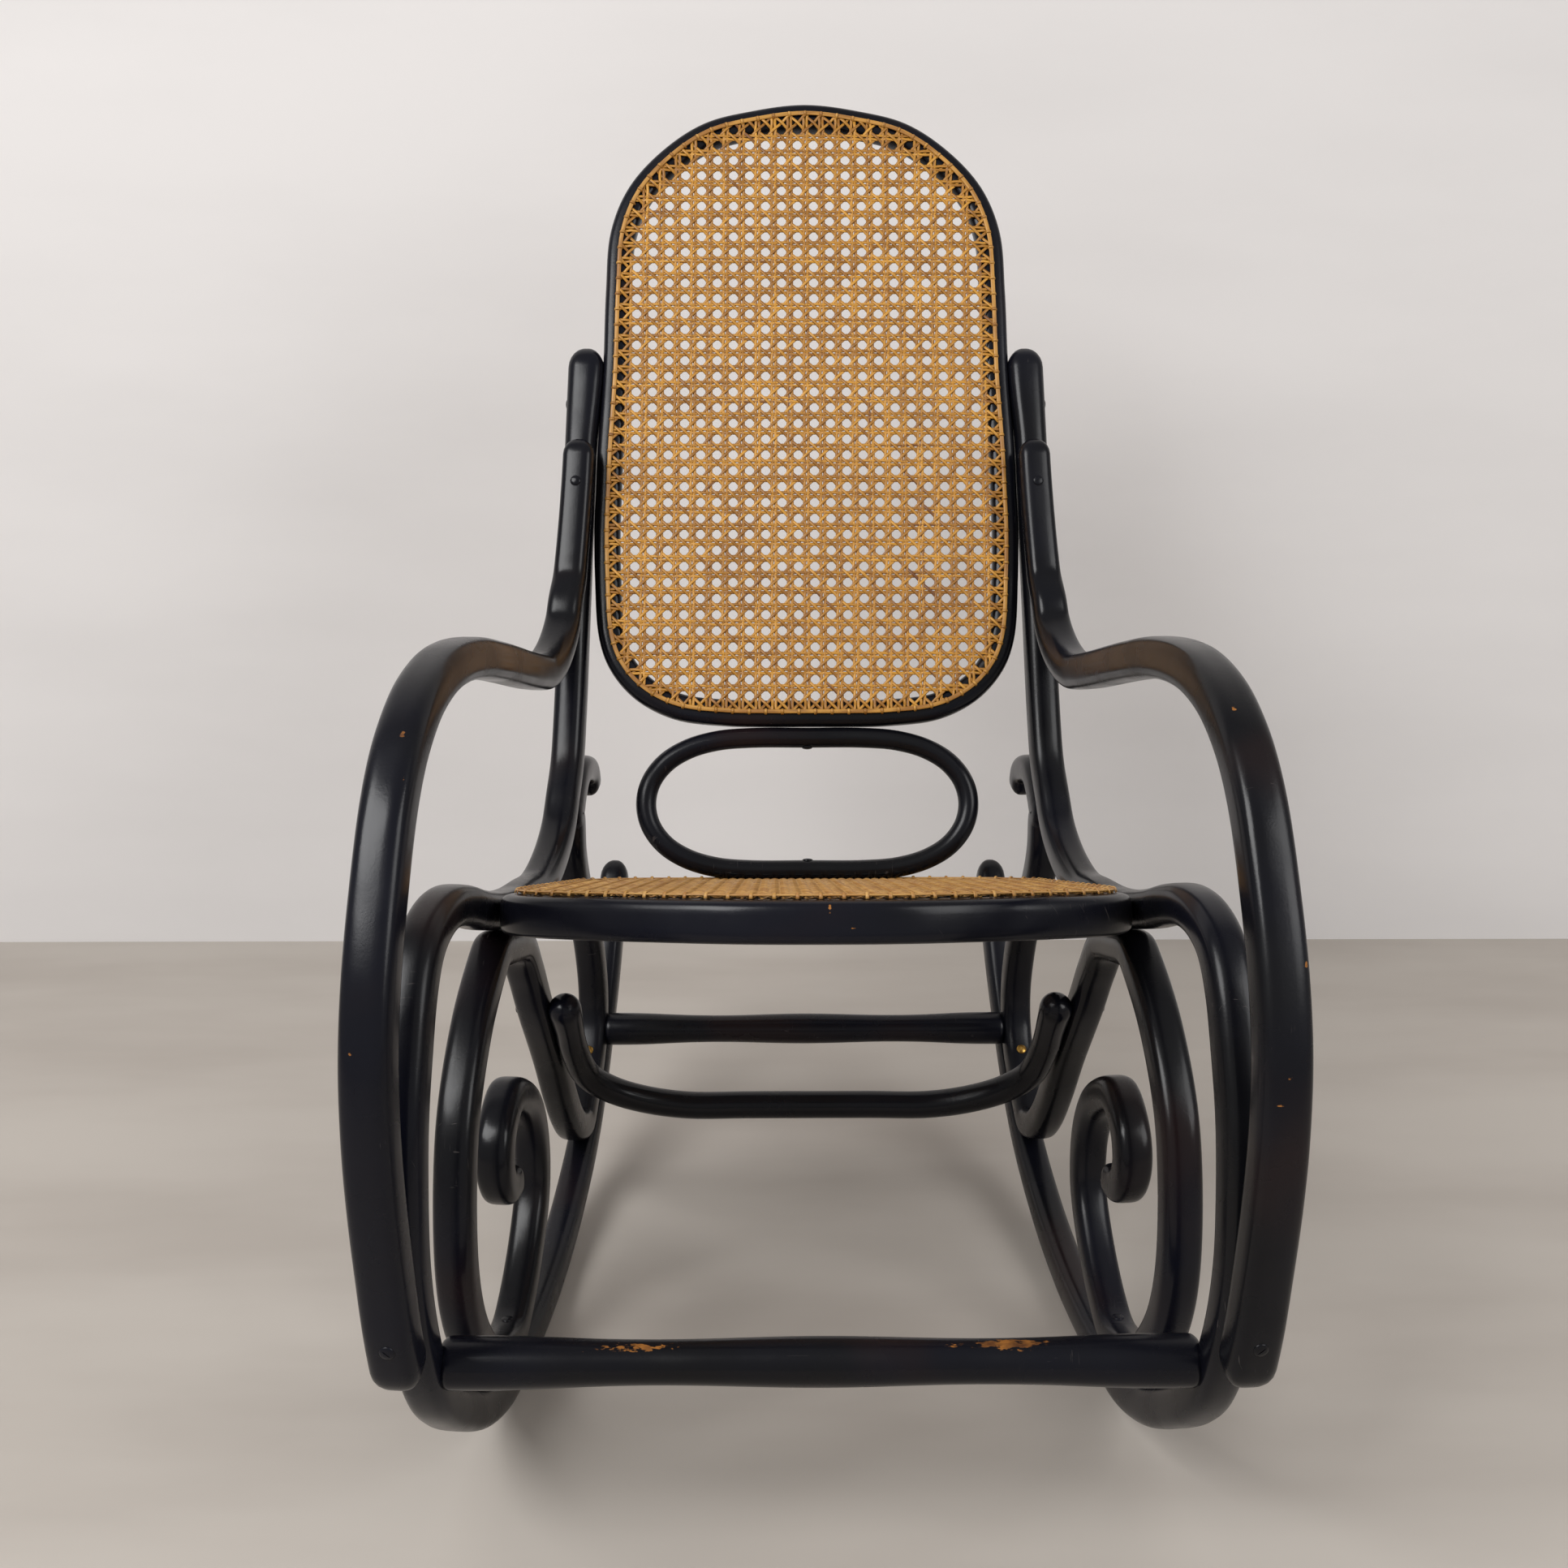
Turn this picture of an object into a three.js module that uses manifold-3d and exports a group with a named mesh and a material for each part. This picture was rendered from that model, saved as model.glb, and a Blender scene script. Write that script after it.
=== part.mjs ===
// Bentwood rocking chair with a caned seat and back.
// Millimetres, +Z up. The sitter faces -Y, X runs across the chair and the floor is at Z = 0.
import * as THREE from "three";
import { mergeVertices } from "three/addons/utils/BufferGeometryUtils.js";
import Module from "manifold-3d";

const wasm = await Module();
wasm.setup();

// Side frames: how far apart they stand, how they toe in, and how large their loops are
const halfSpread = 238;
const toeInDegrees = 4.5;
const loopDepth = 766;
const loopHeight = 465;
const armHeight = 625;
const runnerFrontRadius = 700;
const runnerRearRadius = 500;
const runnerFlat = 0.5;
const stileReach = 515;

// Bent sections: across the chair, and in the plane of the bend
const railWidth = 30;
const railThick = 30;
const armWidth = 33;
const armThick = 31;
const armOutset = 4;
const scrollWidth = 29;
const scrollThick = 29;
const stileEndShare = 0.83;
const stileSlimShare = 0.1;
const armEndShare = 0.76;
const scrollTipShare = 0.88;
const cornerShare = 0.56;

// Seat ring and its lean, measured along the seat
const seatLeanDegrees = 18;
const seatLength = 456;
const seatForward = 187;
const seatFaceWidth = 34;
const seatRingHeight = 30;

// Back ring and the oval ring below it, measured up the lean of the back
const backLeanDegrees = 22;
const backHeight = 616;
const backFaceWidth = 25;
const backRingDepth = 22;
const ovalWidth = 322;
const ovalHeight = 144;
const ovalRod = 19;

// Stretchers
const frontStretcherRod = 33;
const rearStretcherRod = 31;
const stretcherEndShare = 0.9;
const frontStretcherShift = 8;
const rearStretcherShift = 6;
const loopStretcherShift = 5;
const loopStretcherRod = 25;
const loopStretcherDrop = 172;
const loopStretcherLeg = 74;

// Cane: panels of open mesh and the binders round them
const caneThick = 2.2;
const canePitch = 42;
const caneHole = 26;
const binderWidth = 4;
const binderThick = 2.8;
const backBinderInset = -1.5;
const seatBinderInset = 11;
const backCaneMargin = 13;
const seatCaneMargin = 8;

// Screws
const screwRadius = 2.5;
const screwHeadRadius = 5;
const screwHeadHeight = 3.2;
const screwBite = 14;
const headSink = 0.8;

// Clearances
const faceGap = 0.3;
const bentGap = 0.7;
const roomGap = 0.15;
const leaveGap = 1;
const holeGap = 0.3;
const overrun = 12;

// Drawing steps
const stileSpans = 5;
const footSpans = 4;
const archSpans = 4;
const heelSpans = 4;
const waistSpans = 2;
const railSteps = 2;
const armSteps = 2;
const scrollSteps = 2;
const ringSteps = 2;
const roundSteps = 1;
const outlineSteps = 48;
const roundSides = 12;
const screwSides = 8;
const endRings = 3;

const toeIn = THREE.MathUtils.degToRad(toeInDegrees);
const seatLean = THREE.MathUtils.degToRad(seatLeanDegrees);
const backLean = THREE.MathUtils.degToRad(backLeanDegrees);

// Finishes
const lacquer = { color: 0x17171b, roughness: 0.32, metalness: 0.0 };
const backCaneFinish = { color: 0xbd8c3f, roughness: 0.6, metalness: 0.0 };
const seatCaneFinish = { color: 0xcda566, roughness: 0.65, metalness: 0.0 };
const brass = { color: 0xa98a45, roughness: 0.35, metalness: 0.9 };
const steel = { color: 0x2a2a2c, roughness: 0.45, metalness: 0.7 };

// Side outlines, as shares of the loops' depth and of a height
const stileShares = [1, 0.76, 0.52, 0.3];
const railLoopShares = [
  [0.209, 0.978],
  [0.178, 0.925],
  [0.144, 0.873],
  [0.09, 0.837],
  [0.022, 0.824],
  [-0.037, 0.841],
  [-0.101, 0.862],
  [-0.159, 0.89],
  [-0.227, 0.933],
  [-0.279, 0.972],
  [-0.323, 0.996],
  [-0.364, 1.0],
  [-0.4, 0.983],
  [-0.428, 0.938],
  [-0.454, 0.86],
  [-0.476, 0.776],
  [-0.491, 0.673],
  [-0.498, 0.566],
  [-0.488, 0.447],
  [-0.46, 0.331],
  [-0.427, 0.263],
  [-0.385, 0.201],
  [-0.322, 0.124],
];
const runnerContactShare = -0.047;
const runnerShares = [-0.25, -0.187, -0.127, -0.067, -0.02, 0.06, 0.14, 0.215];
const tailShares = [
  [0.28, 0.187],
  [0.347, 0.28],
  [0.413, 0.391],
  [0.465, 0.495],
  [0.504, 0.578],
];
const armSweepShares = [
  [0.241, 0.966],
  [0.226, 0.937],
  [0.198, 0.913],
  [0.16, 0.897],
  [0.112, 0.893],
  [0.07, 0.904],
  [0.009, 0.924],
  [-0.054, 0.946],
  [-0.111, 0.965],
  [-0.175, 0.984],
  [-0.24, 0.995],
  [-0.292, 0.995],
  [-0.345, 0.982],
  [-0.384, 0.96],
  [-0.413, 0.935],
  [-0.443, 0.896],
  [-0.479, 0.828],
  [-0.51, 0.756],
  [-0.531, 0.686],
  [-0.543, 0.608],
  [-0.546, 0.53],
];
const scrollCurlShares = [
  [-0.1475, 0.412],
  [-0.167, 0.4075],
  [-0.187, 0.415],
  [-0.201, 0.437],
  [-0.207, 0.469],
  [-0.197, 0.51],
  [-0.157, 0.542],
  [-0.11, 0.505],
  [-0.076, 0.45],
  [-0.057, 0.37],
  [-0.063, 0.28],
  [-0.1, 0.204],
  [-0.158, 0.138],
];
const scrollFrontShares = [
  [-0.279, 0.168],
  [-0.323, 0.248],
  [-0.35, 0.335],
  [-0.359, 0.43],
  [-0.352, 0.53],
  [-0.334, 0.622],
  [-0.304, 0.7],
  [-0.24, 0.785],
];
const scrollFallShares = [
  [-0.07, 0.764],
  [-0.044, 0.697],
  [-0.01, 0.61],
  [0.05, 0.457],
  [0.093, 0.351],
  [0.138, 0.25],
  [0.166, 0.207],
];
const scrollLegShares = [
  [0.308, 0.333],
  [0.316, 0.409],
  [0.304, 0.505],
  [0.281, 0.591],
  [0.247, 0.66],
  [0.222, 0.728],
  [0.208, 0.795],
  [0.208, 0.857],
];
const scrollHookShares = [
  [0.26, 0.955],
  [0.295, 0.967],
  [0.336, 0.942],
  [0.347, 0.888],
];

// Places along the side rail, counted in its outline points from the top of the stile
const place = {
  backScrewUpper: 0.45,
  armTop: 0.8,
  armScrew: 1.15,
  backScrewLower: 1.55,
  armLeaves: 1.7,
  armFree: 1.88,
  waistEnd: 4.2,
  waistScrew: 4.45,
  waistStart: 4.65,
  seatScrewRear: 9.4,
  archEnd: 10.5,
  archScrew: 10.95,
  archStart: 11.2,
  seatScrewFront: 11.75,
  footTop: 20.4,
  footScrew: 21.4,
  footEnd: 22.05,
  frontStretcher: 22.6,
  scrollFoot: 27.7,
  heelFree: 33.85,
  heelStart: 34.1,
  heelScrew: 34.8,
  heelEnd: 35.2,
};

// Places along the scroll, counted from the end of its curl
const scrollPlace = {
  loopStretcher: 28.7,
  loopScrew: 29,
  rearStretcher: 39.8,
};

// Half outlines of the rings, as shares of their half width and their length
const seatFrontShares = [
  [0, 0],
  [0.256, 0.012],
  [0.507, 0.061],
  [0.745, 0.135],
  [0.905, 0.203],
  [0.978, 0.275],
  [0.982, 0.36],
];
const seatSideShares = [0.5, 0.64, 0.78];
const seatRearShares = [
  [0.912, 0.888],
  [0.835, 0.95],
  [0.7, 0.99],
  [0.54, 1],
  [0.27, 1],
  [0, 1],
];
const backTopShares = [
  [0, 1],
  [0.27, 0.989],
  [0.5, 0.969],
  [0.7, 0.925],
  [0.86, 0.866],
  [0.943, 0.797],
  [0.964, 0.7],
  [0.975, 0.56],
];
const backSideShares = [0.42, 0.36, 0.3];
const backBottomShares = [
  [1.005, 0.22],
  [0.982, 0.125],
  [0.93, 0.08],
  [0.82, 0.04],
  [0.65, 0.012],
  [0.4, 0.0015],
  [0.2, 0],
  [0, 0],
];
const ovalShares = [
  [0, 1],
  [0.35, 0.998],
  [0.56, 0.955],
  [0.74, 0.83],
  [0.88, 0.62],
  [0.97, 0.33],
  [1, 0],
];
const loopCornerShares = [
  [0.962, 0.45],
  [0.866, 0.71],
  [0.727, 0.89],
  [0.54, 1],
  [0.27, 1],
  [0, 1],
];

// Small helpers

const flat = (x, y, z = 0) => new THREE.Vector3(x, y, z);

function scaled(shares, width, height) {
  return shares.map(([along, up]) => flat(along * width, up * height));
}

// A frame set down at a point, with its x, y and z axes
function frameAt(origin, x, y, z) {
  return new THREE.Matrix4().makeBasis(x, y, z).setPosition(origin);
}

function leaningFrame(depth, height, angle) {
  return new THREE.Matrix4().makeRotationX(angle).setPosition(0, depth, height);
}

// A half outline and its mirror image, as one closed run of points
function mirrored(half) {
  const other = half.filter((p) => p.x > 0).map((p) => flat(-p.x, p.y));
  return [...half, ...other.reverse()];
}

// The point beside a bend at a place counted in its outline points
function beside(curve, at, distance) {
  const share = at / (curve.points.length - 1);
  const tangent = curve.getTangent(share);
  return curve.getPoint(share).add(flat(-tangent.y * distance, tangent.x * distance));
}

// Run of points beside a bend, from one place to another
function run(curve, from, to, spans, distance) {
  return Array.from({ length: spans + 1 }, (_, i) =>
    beside(curve, THREE.MathUtils.lerp(from, to, i / spans), distance),
  );
}

// Unit vector square to a bend, in its plane
function squareTo(curve, at) {
  const tangent = curve.getTangent(at / (curve.points.length - 1));
  return flat(-tangent.y, tangent.x);
}

// Bent rods

// A square with broad rounded corners
function roundedSquare(halfWidth, halfThick) {
  const cut = cornerShare * Math.min(halfWidth, halfThick);
  return [
    [halfWidth, halfThick - cut],
    [halfWidth - cut, halfThick],
    [cut - halfWidth, halfThick],
    [-halfWidth, halfThick - cut],
    [-halfWidth, cut - halfThick],
    [cut - halfWidth, -halfThick],
    [halfWidth - cut, -halfThick],
    [halfWidth, cut - halfThick],
  ];
}

function roundSection(halfWidth, halfThick) {
  return Array.from({ length: roundSides }, (_, i) => {
    const turn = (2 * Math.PI * (i + 0.5)) / roundSides;
    return [halfWidth * Math.cos(turn), halfThick * Math.sin(turn)];
  });
}

function flatSection(halfWidth, halfThick) {
  return [
    [halfWidth, halfThick],
    [-halfWidth, halfThick],
    [-halfWidth, -halfThick],
    [halfWidth, -halfThick],
  ];
}

// Stations of an open rod: a domed start, the outline's own steps, a domed end
function openStations(curve, steps, sizeAt) {
  const length = curve.getLength();
  const first = Math.min(...sizeAt(0)) / length;
  const last = Math.min(...sizeAt(1)) / length;
  const turns = Array.from({ length: endRings }, (_, i) => (Math.PI / 2) * ((i + 1) / endRings));
  const start = turns.map((turn) => ({
    share: curve.getUtoTmapping(first * (1 - Math.cos(turn))),
    grow: Math.sin(turn),
  }));
  const stop = turns.map((turn) => ({
    share: curve.getUtoTmapping(1 - last * (1 - Math.cos(turn))),
    grow: Math.sin(turn),
  }));
  const count = (curve.points.length - 1) * steps;
  const from = start[endRings - 1].share + 0.3 / count;
  const to = stop[endRings - 1].share - 0.3 / count;
  const inner = Array.from({ length: count }, (_, i) => ({ share: i / count, grow: 1 }));
  return [...start, ...inner.filter(({ share }) => share > from && share < to), ...stop.reverse()];
}

// A rod bent in its own XY plane. sizeAt gives its half width and half thickness along it,
// and driftAt how far it strays from the plane.
function bentRod(curve, steps, sizeAt, section = roundedSquare, driftAt = () => 0) {
  const { closed } = curve;
  const count = curve.points.length * steps;
  const stations = closed
    ? Array.from({ length: count }, (_, i) => ({ share: i / count, grow: 1 }))
    : openStations(curve, steps, sizeAt);
  const positions = [];
  const index = [];
  const sides = section(1, 1).length;
  for (const { share, grow } of stations) {
    const point = curve.getPoint(share);
    const tangent = curve.getTangent(share);
    for (const [across, inBend] of section(...sizeAt(share))) {
      positions.push(point.x - grow * inBend * tangent.y);
      positions.push(point.y + grow * inBend * tangent.x);
      positions.push(grow * across + driftAt(share));
    }
  }
  const rings = stations.length;
  for (let i = 0; i < (closed ? rings : rings - 1); i++) {
    const here = i * sides;
    const next = ((i + 1) % rings) * sides;
    for (let j = 0; j < sides; j++) {
      const k = (j + 1) % sides;
      index.push(here + j, next + k, here + k, here + j, next + j, next + k);
    }
  }
  if (!closed) {
    const tail = (rings - 1) * sides;
    for (let j = 1; j < sides - 1; j++) {
      index.push(0, j, j + 1, tail, tail + j + 1, tail + j);
    }
  }
  const geometry = new THREE.BufferGeometry();
  geometry.setAttribute("position", new THREE.Float32BufferAttribute(positions, 3));
  geometry.setIndex(index);
  return geometry;
}

// Closed run of points inside a ring's centre line by a distance
function loopInside(curve, distance) {
  return Array.from({ length: outlineSteps }, (_, i) => {
    const share = i / outlineSteps;
    const tangent = curve.getTangentAt(share);
    return curve.getPointAt(share).add(flat(tangent.y * distance, -tangent.x * distance));
  });
}

function inLoop(loop, x, y) {
  let inside = false;
  loop.forEach((a, i) => {
    const b = loop[(i + 1) % loop.length];
    if (a.y > y !== b.y > y && x < a.x + ((y - a.y) / (b.y - a.y)) * (b.x - a.x)) {
      inside = !inside;
    }
  });
  return inside;
}

// Squares of a regular net, wherever a whole one fits inside a loop
function netOpenings(loop) {
  const box = new THREE.Box3().setFromPoints(loop);
  const middle = box.getCenter(flat(0, 0));
  const half = caneHole / 2;
  const across = Math.ceil((box.max.x - box.min.x) / canePitch / 2);
  const up = Math.ceil((box.max.y - box.min.y) / canePitch / 2);
  const openings = [];
  for (let i = -across; i <= across; i++) {
    for (let j = -up; j <= up; j++) {
      const x = middle.x + i * canePitch;
      const y = middle.y + j * canePitch;
      const corners = [
        new THREE.Vector2(x - half, y - half),
        new THREE.Vector2(x + half, y - half),
        new THREE.Vector2(x + half, y + half),
        new THREE.Vector2(x - half, y + half),
      ];
      if (corners.every((corner) => inLoop(loop, corner.x, corner.y))) {
        openings.push(new THREE.Shape(corners));
      }
    }
  }
  return openings;
}

// Panel of open cane inside a ring, lying in a frame's plane at a height above it
function canePanel(curve, edgeInset, margin, rise, frame) {
  const edge = loopInside(curve, edgeInset).map((p) => new THREE.Vector2(p.x, p.y));
  const plain = { depth: caneThick, bevelEnabled: false };
  const sheet = new THREE.ExtrudeGeometry(new THREE.Shape(edge), plain);
  const through = { depth: caneThick + 2 * overrun, bevelEnabled: false };
  const openings = netOpenings(loopInside(curve, edgeInset + margin));
  const punches = new THREE.ExtrudeGeometry(openings, through);
  sheet.translate(0, 0, rise);
  punches.translate(0, 0, rise - overrun);
  return solidOf(sheet, frame).subtract(solidOf(punches, frame));
}

// Solids

function solidOf(geometry, frame) {
  const bare = new THREE.BufferGeometry();
  bare.setAttribute("position", geometry.getAttribute("position").clone());
  if (geometry.index) {
    bare.setIndex(geometry.index.clone());
  }
  const merged = mergeVertices(bare.applyMatrix4(frame));
  return new wasm.Manifold(
    new wasm.Mesh({
      numProp: 3,
      vertProperties: merged.attributes.position.array,
      triVerts: new Uint32Array(merged.index.array),
    }),
  );
}

function geometryOf(solid, mirror) {
  const made = solid.getMesh();
  const position = new THREE.BufferAttribute(new Float32Array(made.vertProperties), 3);
  const index = new Uint32Array(made.triVerts);
  if (mirror) {
    position.applyMatrix4(new THREE.Matrix4().makeScale(-1, 1, 1));
    index.reverse();
  }
  const geometry = new THREE.BufferGeometry();
  geometry.setAttribute("position", position);
  geometry.setIndex(new THREE.BufferAttribute(index, 1));
  geometry.computeVertexNormals();
  return geometry;
}

// Paired pieces are made on the right, where X is positive, and mirrored; others stand in the middle
const paired = new Map();
const single = new Map();

function make(store, name, geometry, frame, finish) {
  store.set(name, { solid: solidOf(geometry, frame), finish });
}

function carve(store, name, cutter) {
  const piece = store.get(name);
  piece.solid = piece.solid.subtract(cutter);
}

// Screw with a domed head, sunk into the face at the frame's origin and driven along the frame's y
function screwGeometry(hold) {
  const neck = headSink;
  const crown = neck - screwHeadHeight;
  const profile = [
    [0, hold],
    [screwRadius, hold],
    [screwRadius, neck],
    [screwHeadRadius, neck],
    [screwHeadRadius * 0.86, (neck + crown) / 2],
    [0, crown],
  ];
  return new THREE.LatheGeometry(
    profile.map(([radius, depth]) => new THREE.Vector2(radius, depth)).reverse(),
    screwSides,
  );
}

function screwHole(hold) {
  const floor = headSink + holeGap;
  const shank = screwRadius + holeGap;
  const head = screwHeadRadius + holeGap;
  const profile = [
    [0, hold + holeGap],
    [shank, hold + holeGap],
    [shank, floor],
    [head, floor],
    [head, -overrun],
    [0, -overrun],
  ];
  return new THREE.LatheGeometry(
    profile.map(([radius, depth]) => new THREE.Vector2(radius, depth)).reverse(),
    screwSides,
  );
}

function driveFrame(origin, direction, parent) {
  const turn = new THREE.Quaternion().setFromUnitVectors(flat(0, 1), direction.clone().normalize());
  const local = new THREE.Matrix4().compose(origin, turn, flat(1, 1, 1));
  return new THREE.Matrix4().multiplyMatrices(parent, local);
}

function drive(name, origin, direction, parent, hold, pairedNames, singleNames, finish = steel) {
  const frame = driveFrame(origin, direction, parent);
  const hole = solidOf(screwHole(hold), frame);
  pairedNames.forEach((piece) => carve(paired, piece, hole));
  if (singleNames.length > 0) {
    const other = solidOf(geometryOf(hole, true), new THREE.Matrix4());
    singleNames.forEach((piece) => carve(single, piece, hole.add(other)));
  }
  make(pairedNames.length > 0 ? paired : single, name, screwGeometry(hold), frame, finish);
}

// Frames of the side, the seat and the back

// A side is drawn with x towards the back, y up and z outwards
const sideFrame = frameAt(
  flat(halfSpread, 0),
  flat(-Math.sin(toeIn), Math.cos(toeIn)),
  flat(0, 0, 1),
  flat(Math.cos(toeIn), Math.sin(toeIn)),
);

// How far out a side's inner face stands at a depth, for a piece of this width
const innerFace = (depth, width) =>
  halfSpread - depth * Math.tan(toeIn) - width / 2 / Math.cos(toeIn);

// The seat ring is held level with the rails at its anchor
const seatAnchorShares = railLoopShares[7];
const seatAnchor = scaled([seatAnchorShares], loopDepth, loopHeight)[0];
const seatFrame = leaningFrame(seatAnchor.x, seatAnchor.y, -seatLean);
const seatRear = seatLength - seatForward - seatFaceWidth / 2;

// The back stands on the middle of the seat's rear rail, and the stiles run beside it
const backFoot = flat(0, seatRear, seatRingHeight / 2).applyMatrix4(seatFrame);
const backFrame = leaningFrame(backFoot.y, backFoot.z, Math.PI / 2 - backLean);
const onStile = (share) => {
  const point = flat(0, share * stileReach).applyMatrix4(backFrame);
  return flat(point.y, point.z);
};

// Side rail: stile, seat rail, front loop, runner and tail in one bend

const runnerPoint = (share) => {
  const out = (share - runnerContactShare) * loopDepth;
  const radius = out < 0 ? runnerFrontRadius : runnerRearRadius;
  const rise = radius - Math.sqrt(radius ** 2 - out ** 2);
  return flat(share * loopDepth, railThick / 2 + rise - runnerFlat);
};
const railCurve = new THREE.CatmullRomCurve3([
  ...stileShares.map(onStile),
  ...scaled(railLoopShares, loopDepth, loopHeight),
  ...runnerShares.map(runnerPoint),
  ...scaled(tailShares, loopDepth, loopHeight),
]);
const railWidthAt = (share) => {
  const full = THREE.MathUtils.smoothstep(share, 0, stileSlimShare);
  return railWidth * THREE.MathUtils.lerp(stileEndShare, 1, full);
};
const railSize = (share) => [railWidthAt(share) / 2, railThick / 2];
const railDrift = (share) => (railWidthAt(share) - railWidth) / 2;
const rail = bentRod(railCurve, railSteps, railSize, roundedSquare, railDrift);
make(paired, "side_rail", rail, sideFrame, lacquer);

// Room that the rail keeps from the pieces that lie against it
const roomSize = (share) => railSize(share).map((half) => half + roomGap);
const room = bentRod(railCurve, railSteps, roomSize, roundedSquare, railDrift);
const railRoom = solidOf(room, sideFrame);
const otherRoom = solidOf(geometryOf(railRoom, true), new THREE.Matrix4());
const bothRooms = railRoom.add(otherRoom);

// The runner is worn flat where it stands
const ground = new THREE.BoxGeometry(2 * halfSpread, loopDepth, loopHeight);
ground.translate(halfSpread, 0, -loopHeight / 2);
carve(paired, "side_rail", solidOf(ground, new THREE.Matrix4()));

// Arm: lies on the front of the stile, sweeps forward and down, and lies on the front loop

const armNest = (railThick + armThick) / 2 + bentGap;
const armTopNest = (railThick + armThick * armEndShare) / 2 + bentGap;
const armCurve = new THREE.CatmullRomCurve3([
  ...run(railCurve, place.armTop, place.armLeaves, stileSpans, -armTopNest),
  beside(railCurve, place.armFree, -armTopNest - leaveGap),
  ...scaled(armSweepShares, loopDepth, armHeight),
  ...run(railCurve, place.footTop, place.footEnd, footSpans, -armNest),
]);
const armSlimShare = 0.1;
const armFullShare = 0.4;
const armSize = (share) => {
  const full = THREE.MathUtils.smoothstep(share, armSlimShare, armFullShare);
  const scale = THREE.MathUtils.lerp(armEndShare, 1, full);
  return [(scale * armWidth) / 2, (scale * armThick) / 2];
};
const armDrift = (share) => {
  const out = THREE.MathUtils.smoothstep(share, 0, armFullShare);
  const home = THREE.MathUtils.smoothstep(share, 2 * armFullShare, 1);
  return armOutset * (2 * out - 1 - home);
};
make(paired, "arm", bentRod(armCurve, armSteps, armSize, roundedSquare, armDrift), sideFrame, lacquer);
carve(paired, "arm", railRoom);

// Scroll: curl, foot on the runner, arch under the seat rail, heel, leg and hook

const scrollNest = (railThick + scrollThick) / 2 + bentGap;
const scrollCurve = new THREE.CatmullRomCurve3([
  ...scaled(scrollCurlShares, loopDepth, loopHeight),
  beside(railCurve, place.scrollFoot, scrollNest),
  ...scaled(scrollFrontShares, loopDepth, loopHeight),
  ...run(railCurve, place.archStart, place.archEnd, archSpans, scrollNest),
  ...scaled(scrollFallShares, loopDepth, loopHeight),
  beside(railCurve, place.heelFree, scrollNest + leaveGap),
  ...run(railCurve, place.heelStart, place.heelEnd, heelSpans, scrollNest),
  ...scaled(scrollLegShares, loopDepth, loopHeight),
  ...run(railCurve, place.waistStart, place.waistEnd, waistSpans, scrollNest),
  ...scaled(scrollHookShares, loopDepth, loopHeight),
]);
const scrollSlimShare = 0.08;
const scrollSize = (share) => {
  const near = Math.min(1, Math.min(share, 1 - share) / scrollSlimShare);
  const scale = THREE.MathUtils.lerp(scrollTipShare, 1, near);
  return [(scale * scrollWidth) / 2, (scale * scrollThick) / 2];
};
make(paired, "scroll", bentRod(scrollCurve, scrollSteps, scrollSize), sideFrame, lacquer);
carve(paired, "scroll", railRoom);

// Seat ring, fitted between the side rails

const seatSideX = (share) => {
  const along = seatFaceWidth / 2 - seatForward + share * (seatLength - seatFaceWidth);
  const depth = flat(0, along).applyMatrix4(seatFrame).y;
  return flat(innerFace(depth, railWidth) - bentGap - seatFaceWidth / 2, along);
};
const seatHalf = seatSideX(seatFrontShares.at(-2)[1]).x;
const onSeat = ([across, share]) => flat(across * seatHalf, seatSideX(share).y);
const seatCurve = new THREE.CatmullRomCurve3(
  mirrored([
    ...seatFrontShares.map(onSeat),
    ...seatSideShares.map(seatSideX),
    ...seatRearShares.map(onSeat),
  ]),
  true,
);
const seatSize = () => [seatRingHeight / 2, seatFaceWidth / 2];
make(single, "seat_frame", bentRod(seatCurve, ringSteps, seatSize), seatFrame, lacquer);
carve(single, "seat_frame", bothRooms);

// Oval ring, standing on the seat's rear rail

const ovalHalfWidth = (ovalWidth - ovalRod) / 2;
const ovalHalfHeight = (ovalHeight - ovalRod) / 2;
const ovalMiddle = bentGap + ovalHeight / 2;
const ovalUpper = scaled(ovalShares, ovalHalfWidth, ovalHalfHeight);
const ovalLower = scaled(ovalShares, ovalHalfWidth, -ovalHalfHeight).slice(0, -1).reverse();
const ovalPoints = mirrored([...ovalUpper, ...ovalLower]).map((p) => flat(p.x, p.y + ovalMiddle));
const ovalCurve = new THREE.CatmullRomCurve3(ovalPoints, true);
const ovalSize = () => [ovalRod / 2, ovalRod / 2];
make(single, "oval_ring", bentRod(ovalCurve, roundSteps, ovalSize, roundSection), backFrame, lacquer);

// Back ring, standing on the oval ring between the stiles

const backStart = 2 * bentGap + ovalHeight + backFaceWidth / 2;
const backSideX = (share) => {
  const up = backStart + share * (backHeight - backFaceWidth);
  const depth = flat(0, up).applyMatrix4(backFrame).y;
  return flat(innerFace(depth, railWidth) - bentGap - backFaceWidth / 2, up);
};
const backHalf = backSideX(backSideShares[0]).x;
const onBack = ([across, share]) => flat(across * backHalf, backSideX(share).y);
const backCurve = new THREE.CatmullRomCurve3(
  mirrored([
    ...backTopShares.map(onBack),
    ...backSideShares.map(backSideX),
    ...backBottomShares.map(onBack),
  ]),
  true,
);
const backSize = () => [backRingDepth / 2, backFaceWidth / 2];
make(single, "back_frame", bentRod(backCurve, ringSteps, backSize), backFrame, lacquer);
carve(single, "back_frame", bothRooms);

// Cane panels on the faces of the seat and back rings, with a binder round each

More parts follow.
